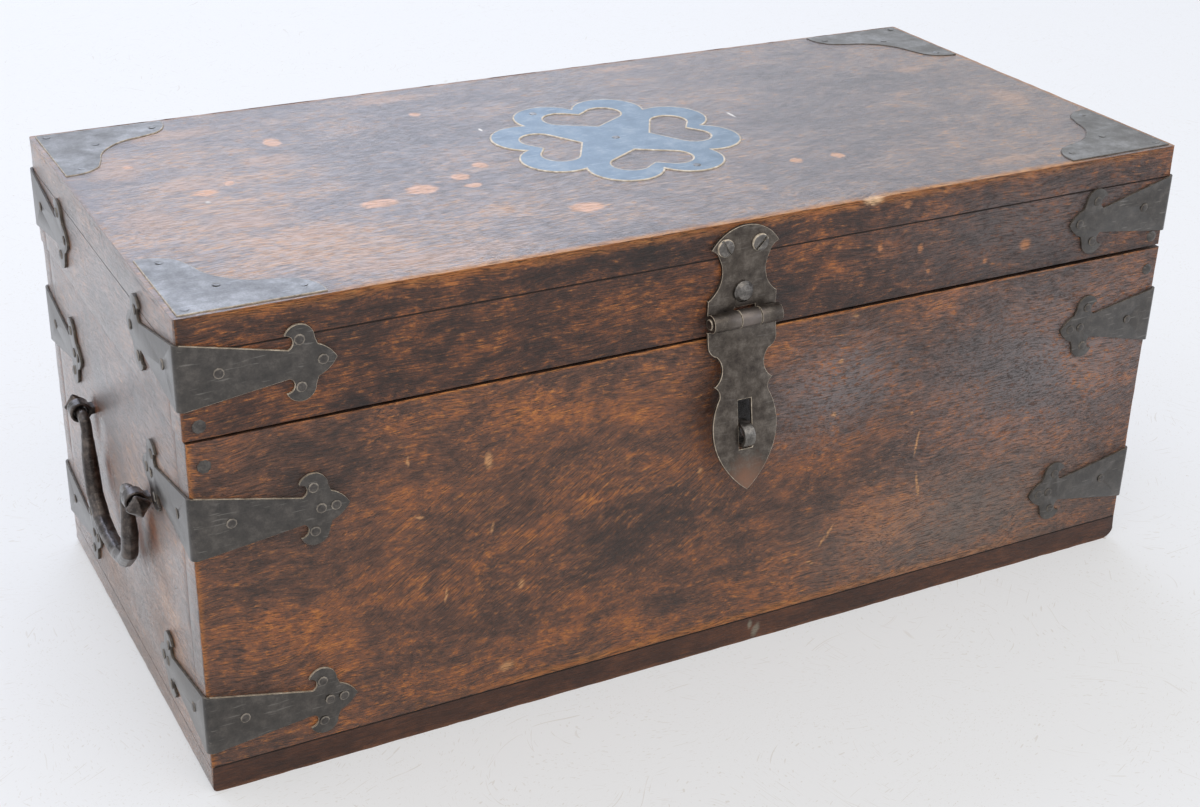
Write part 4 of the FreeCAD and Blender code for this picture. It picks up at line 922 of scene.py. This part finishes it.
def makeHead(name, size):
    # a hammered head: a low many sided disc, its face drawn in and dished by the blows
    radius, rise, shoulder, inset = [size[part] * mm for part in ("radius", "rise", "shoulder", "inset")]
    bpy.ops.object.select_all(action="DESELECT")
    bpy.ops.mesh.primitive_cylinder_add(vertices=size["sides"], radius=radius, depth=rise,
                                        location=(0, 0, -rise / 2))
    head = newest(name)
    editSome(head, "FACE", lambda face: face.normal.z > 0.9)
    bpy.ops.transform.translate(value=(0, 0, -shoulder))
    bpy.ops.mesh.inset(thickness=inset, depth=shoulder * 0.8)
    bpy.ops.mesh.inset(thickness=inset, depth=shoulder * 0.2)
    bpy.ops.mesh.select_all(action="SELECT")
    bpy.ops.transform.vertex_random(offset=size["blows"] * mm, seed=4)
    bpy.ops.object.mode_set(mode="OBJECT")
    dress(head, [metal[size["skin"]], metal[size["ring"]]])
    for face in head.data.polygons:
        # the first ring in from the side
        rubbed = face.normal.z > 0.2 and face.center.xy.length > (radius - 0.5 * inset) * 0.9
        face.material_index = 1 if rubbed else 0
    return head


def scatterHeads(pieceName, head, spots, node, turns=None, tilt=5, dullBeyond=None):
    # a copy of the head on each spot, turned and tilted a little by chance
    rng = Random(7)
    copies = []
    for k, (spot, facing) in enumerate(spots):
        turn = turns[k] if turns else rng.uniform(0, 2 * pi)
        tiltX, tiltY = radians(rng.uniform(-tilt, tilt)), radians(rng.uniform(-tilt, tilt))
        lean = Matrix.Rotation(tiltX, 4, "X") @ Matrix.Rotation(tiltY, 4, "Y")
        aim = facing.to_track_quat("Z", "Y").to_matrix().to_4x4()
        one = head.copy()
        one.data = head.data.copy()
        if dullBeyond and spot.x > dullBeyond * mm:
            one.data.materials[1] = metal["dullRimAndShade"]
        bpy.context.scene.collection.objects.link(one)
        one.matrix_world = Matrix.Translation(spot) @ aim @ lean @ Matrix.Rotation(turn, 4, "Z")
        copies.append(one)
    bpy.context.view_layer.update()
    pick(copies[0])
    for one in copies[1:]:
        one.select_set(True)
    if len(copies) > 1:
        bpy.ops.object.join()
    piece = newest(pieceName)
    smoothTo(piece, 30)
    settle(piece, bodyOf[node], [node])


# sizes in mm; rings of nails to the right of dullBeyond are grimy
headSizes = {
    "strapNail": {"sides": 9, "radius": 2.35, "rise": 0.9, "shoulder": 0.4, "inset": 0.5, "blows": 0.09,
                  "skin": "nailIron", "ring": "nailRim", "sunk": 0, "dullBeyond": 120},
    "plateTack": {"sides": 8, "radius": 1.8, "rise": 0.3, "shoulder": 0.1, "inset": 0.4, "blows": 0.05,
                  "skin": "plateIron", "ring": "plateIron", "sunk": 0.55, "dullBeyond": None},
    "boardSpike": {"sides": 8, "radius": 3.0, "rise": 1.1, "shoulder": 0.5, "inset": 0.8, "blows": 0.12,
                   "skin": "nailIron", "ring": "nailIron", "sunk": 0, "dullBeyond": None},
    "domedRivet": {"sides": 14, "radius": 5.0, "rise": 2.7, "shoulder": 1.7, "inset": 1.35, "blows": 0.12,
                   "skin": "screwSteel", "ring": "screwSteel", "sunk": 0, "dullBeyond": None},
}
driven = [("strapNailsBody", "strapNail", "body_strap_nails", "nail_iron"),
          ("strapNailsLid", "strapNail", "lid_strap_nails", "nail_iron"),
          ("plateTacks", "plateTack", "lid_plate_tacks", "nail_iron"),
          ("spikesBody", "boardSpike", "body_board_spikes", "nail_iron"),
          ("spikesLid", "boardSpike", "lid_board_spikes", "nail_iron"),
          ("haspRivet", "domedRivet", "hasp_plate_rivet", "strap_iron")]
heads = {name: makeHead(name, size) for name, size in headSizes.items()}
for pieceName, headName, node, slotName in driven:
    size = headSizes[headName]
    spots = [(spot - size["sunk"] * mm * facing, facing) for spot, facing in drivenSpots(node)]
    scatterHeads(pieceName, heads[headName], spots, node, dullBeyond=size["dullBeyond"])
for head in heads.values():
    bpy.data.objects.remove(head)

screwSize = {"radius": 4.1, "rise": 1.5, "shoulder": 1.0, "slotWide": 1.15, "slotDeep": 0.9, "burr": 0.14,
             "brightBeyond": 0.84}
# each slot's angle from level, in degrees
slotTurns = {"hasp_plate_screws": (-61, 48), "hinge_lid_screws": (20, -35, 70, 5),
             "hinge_body_screws": (-15, 62, 40, -50)}


def makeScrewHead():
    # a turned round head with a sawn slot
    radius, rise = screwSize["radius"] * mm, screwSize["rise"] * mm
    slotWide, slotDeep = screwSize["slotWide"] * mm, screwSize["slotDeep"] * mm
    bpy.ops.object.select_all(action="DESELECT")
    bpy.ops.mesh.primitive_cylinder_add(vertices=32, radius=radius, depth=rise, location=(0, 0, -rise / 2))
    head = newest("screwHead")
    bevelEdges(head, lambda a, b: min(a.z, b.z) > -0.1 * mm, screwSize["shoulder"], 4)
    bpy.ops.object.select_all(action="DESELECT")
    bpy.ops.mesh.primitive_cube_add(size=1, location=(0, 0, 0), scale=(radius * 3, slotWide, slotDeep * 2))
    saw = newest("slotSaw")
    applyModifier(head, "BOOLEAN", operation="DIFFERENCE", object=saw, solver="EXACT")
    bpy.data.objects.remove(saw)
    dress(head, [metal["screwSteel"], metal["wornRimAndHighlight"]])
    for face in head.data.polygons:
        # the turned shoulder is rubbed bright, with a painted highlight
        rubbed = face.center.xy.length > radius * screwSize["brightBeyond"] and face.normal.z < 0.8
        face.material_index = 1 if rubbed else 0
    applyModifier(head, "BEVEL", width=screwSize["burr"] * mm, segments=2, limit_method="ANGLE",
                  angle_limit=radians(50), material=1)
    return head


screwHead = makeScrewHead()
for node, turns in slotTurns.items():
    spots = drivenSpots(node)
    # a head's own X is found again after it is aimed, so that each slot stands at its angle from level
    aimed = []
    for (spot, facing), turn in zip(spots, turns):
        aim = facing.to_track_quat("Z", "Y").to_matrix()
        local = aim.inverted() @ Vector((cos(radians(turn)), 0, sin(radians(turn))))
        aimed.append(atan2(local.y, local.x))
    scatterHeads(node + "_turned", screwHead, spots, node, turns=aimed, tilt=2)
bpy.data.objects.remove(screwHead)
dress(frame["nodes"]["base_board_spikes"], [metal["nailIron"]])
print("nails and screws driven")


# handles, eyes and staple

forgeBlows = bpy.data.textures.new("forgeBlows", "CLOUDS")
forgeBlows.noise_scale = 6 * mm
forgeBlows.noise_depth = 1
# voxel is the finest detail kept and blows the depth of the hammer marks, in mm
forgedLooks = {
    "_bail": {"skin": "handleIron", "slot": "handle_iron", "voxel": 0.6, "blows": 0.4},
    "_handle_eye_": {"skin": "handleIron", "slot": "handle_iron", "voxel": 0.5, "blows": 0.3},
    "hasp_staple": {"skin": "stapleSteel", "slot": "hasp_steel", "voxel": 0.4, "blows": 0.2},
}
# in mm: the bar's pivot is so far below the top of its box, and the grip below the neck is shortened to hang
knob = {"pivot": 5.5, "length": 6.8, "flats": 0.78, "turn": 35, "squareOver": 1.2, "point": 0.4,
        "pointFrom": 4, "pointOver": 2.5, "neck": 10, "hang": 0.9}


def squareKnobs(piece, node):
    # the bar's two ends are hammered into short square knobs with a low pyramid for a face, and the grip
    # hangs a little higher than in the sound part
    low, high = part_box(node)
    swing = Vector(((low.x + high.x) / 2, high.z - knob["pivot"] * mm))
    for corner in piece.data.vertices:
        spot = corner.co
        below = swing.y - knob["neck"] * mm - spot.z
        if below > 0:
            spot.z += below * (1 - knob["hang"])
        past = max(low.y - spot.y, spot.y - high.y) / mm + knob["length"]
        out = Vector((spot.x, spot.z)) - swing
        if past < 0 or out.length < 0.01 * mm:
            continue
        turned = Matrix.Rotation(radians(knob["turn"]), 2) @ out
        widest = max(abs(turned.x), abs(turned.y))
        share = min(past / knob["squareOver"], 1)
        out *= 1 + share * (min(knob["flats"] * out.length / widest, 1) - 1)
        tip = min(max((past - knob["pointFrom"]) / knob["pointOver"], 0), 1) * knob["point"] * widest
        inward = 1 if spot.y < 0 else -1
        corner.co = (swing.x + out.x, spot.y + inward * tip, swing.y + out.y)


def makeForged(node, look):
    # drawn out on the anvil: no edge left sharp, flats from the hammer all round
    piece = copyOfNode(node, node + "_forged")
    applyModifier(piece, "REMESH", mode="VOXEL", voxel_size=look["voxel"] * mm, use_smooth_shade=True)
    applyModifier(piece, "SMOOTH", factor=0.5, iterations=4)
    if node.endswith("_bail"):
        squareKnobs(piece, node)
    applyModifier(piece, "DISPLACE", texture=forgeBlows, strength=look["blows"] * mm, mid_level=0.55,
                  texture_coords="LOCAL")
    keepInside(piece, node)
    dress(piece, [metal[look["skin"]]])
    settle(piece, bodyOf[node], [node])


for part, look in forgedLooks.items():
    for node in sorted(frame["nodes"]):
        if part in node:
            makeForged(node, look)
print("handles forged")


# floor

tableLook = {
    "white": "#E1E1E1", "glow": 0.53, "shade": 0.5, "rough": 0.55, "bendMm": 120, "bend": 150,
    "scratch": "#B3A692", "scratchFrom": 0.76, "scratchTo": 0.8,
    # the scratches run three ways: turn, width and length in mm, share
    "scratches": [(0.4, 0.8, 45, 0.28), (-0.9, 0.7, 38, 0.22), (1.9, 0.9, 50, 0.2)],
    "speck": "#A08A6C", "speckMm": 9, "speckFrom": 0.70, "speckTo": 0.73, "specks": 0.5,
}


def paintedTable():
    # white lacquered board, rolled on: nearly even, with hair scratches and a few brown specks
    material, tree, skin = newMaterial("lacqueredBoard")
    inMm = placeInMm(tree)
    bend = addNode(tree, "ShaderNodeTexNoise", {"Vector": inMm, "Scale": 1 / tableLook["bendMm"],
                                                "Detail": 1.0})
    bend = addNode(tree, "ShaderNodeVectorMath", {0: bend.outputs["Color"], "Scale": tableLook["bend"]},
                   operation="SCALE")
    bent = addNode(tree, "ShaderNodeVectorMath", {0: inMm, 1: bend.outputs[0]})
    lines = 0.0
    for turn, wide, long, share in tableLook["scratches"]:
        turned = addNode(tree, "ShaderNodeMapping", {"Vector": bent.outputs[0], "Rotation": (0, 0, turn),
                                                     "Scale": (long, wide, wide)}, vector_type="TEXTURE")
        streak = addNode(tree, "ShaderNodeTexNoise", {"Vector": turned.outputs[0], "Scale": 1, "Detail": 0.0})
        line = addNode(tree, "ShaderNodeMapRange", {"Value": streak.outputs[0], "To Max": share,
                                                    "From Min": tableLook["scratchFrom"],
                                                    "From Max": tableLook["scratchTo"]})
        lines = addNode(tree, "ShaderNodeMath", {0: lines, 1: line.outputs[0]},
                        operation="MAXIMUM").outputs[0]
    colour = addNode(tree, "ShaderNodeMix", {"Factor": lines, 6: tableLook["white"], 7: tableLook["scratch"]},
                     data_type="RGBA").outputs[2]
    speck = addNode(tree, "ShaderNodeTexNoise", {"Vector": inMm, "Scale": 1 / tableLook["speckMm"],
                                                 "Detail": 4.0, "Roughness": 0.8})
    specks = addNode(tree, "ShaderNodeMapRange", {"Value": speck.outputs[0], "To Max": tableLook["specks"],
                                                  "From Min": tableLook["speckFrom"],
                                                  "From Max": tableLook["speckTo"]})
    colour = addNode(tree, "ShaderNodeMix", {"Factor": specks.outputs[0], 6: colour, 7: tableLook["speck"]},
                     data_type="RGBA").outputs[2]
    tree.links.new(colour, skin.inputs["Base Color"])
    skin.inputs["Roughness"].default_value = tableLook["rough"]
    # seen straight on or in a reflection the white keeps its level, so that only a soft shadow is left on it
    path = addNode(tree, "ShaderNodeLightPath")
    seen = addNode(tree, "ShaderNodeMath", {0: path.outputs["Is Camera Ray"],
                                            1: path.outputs["Is Glossy Ray"]}, operation="MAXIMUM")
    shade = tableLook["shade"]
    glow = addNode(tree, "ShaderNodeEmission", {"Color": colour, "Strength": tableLook["glow"] / shade})
    soft = addNode(tree, "ShaderNodeMixShader", {0: 1 - shade, 1: skin.outputs[0], 2: glow.outputs[0]})
    both = addNode(tree, "ShaderNodeMixShader", {0: seen.outputs[0], 1: skin.outputs[0], 2: soft.outputs[0]})
    tree.links.new(both.outputs[0], tree.nodes["Material Output"].inputs["Surface"])
    return material


bpy.ops.object.select_all(action="DESELECT")
bpy.ops.mesh.primitive_plane_add(size=14, location=(0, 3, 0))
floor = bpy.context.object
floor.name = "whiteTable"
floor.data.materials.append(paintedTable())

print("scene ready")
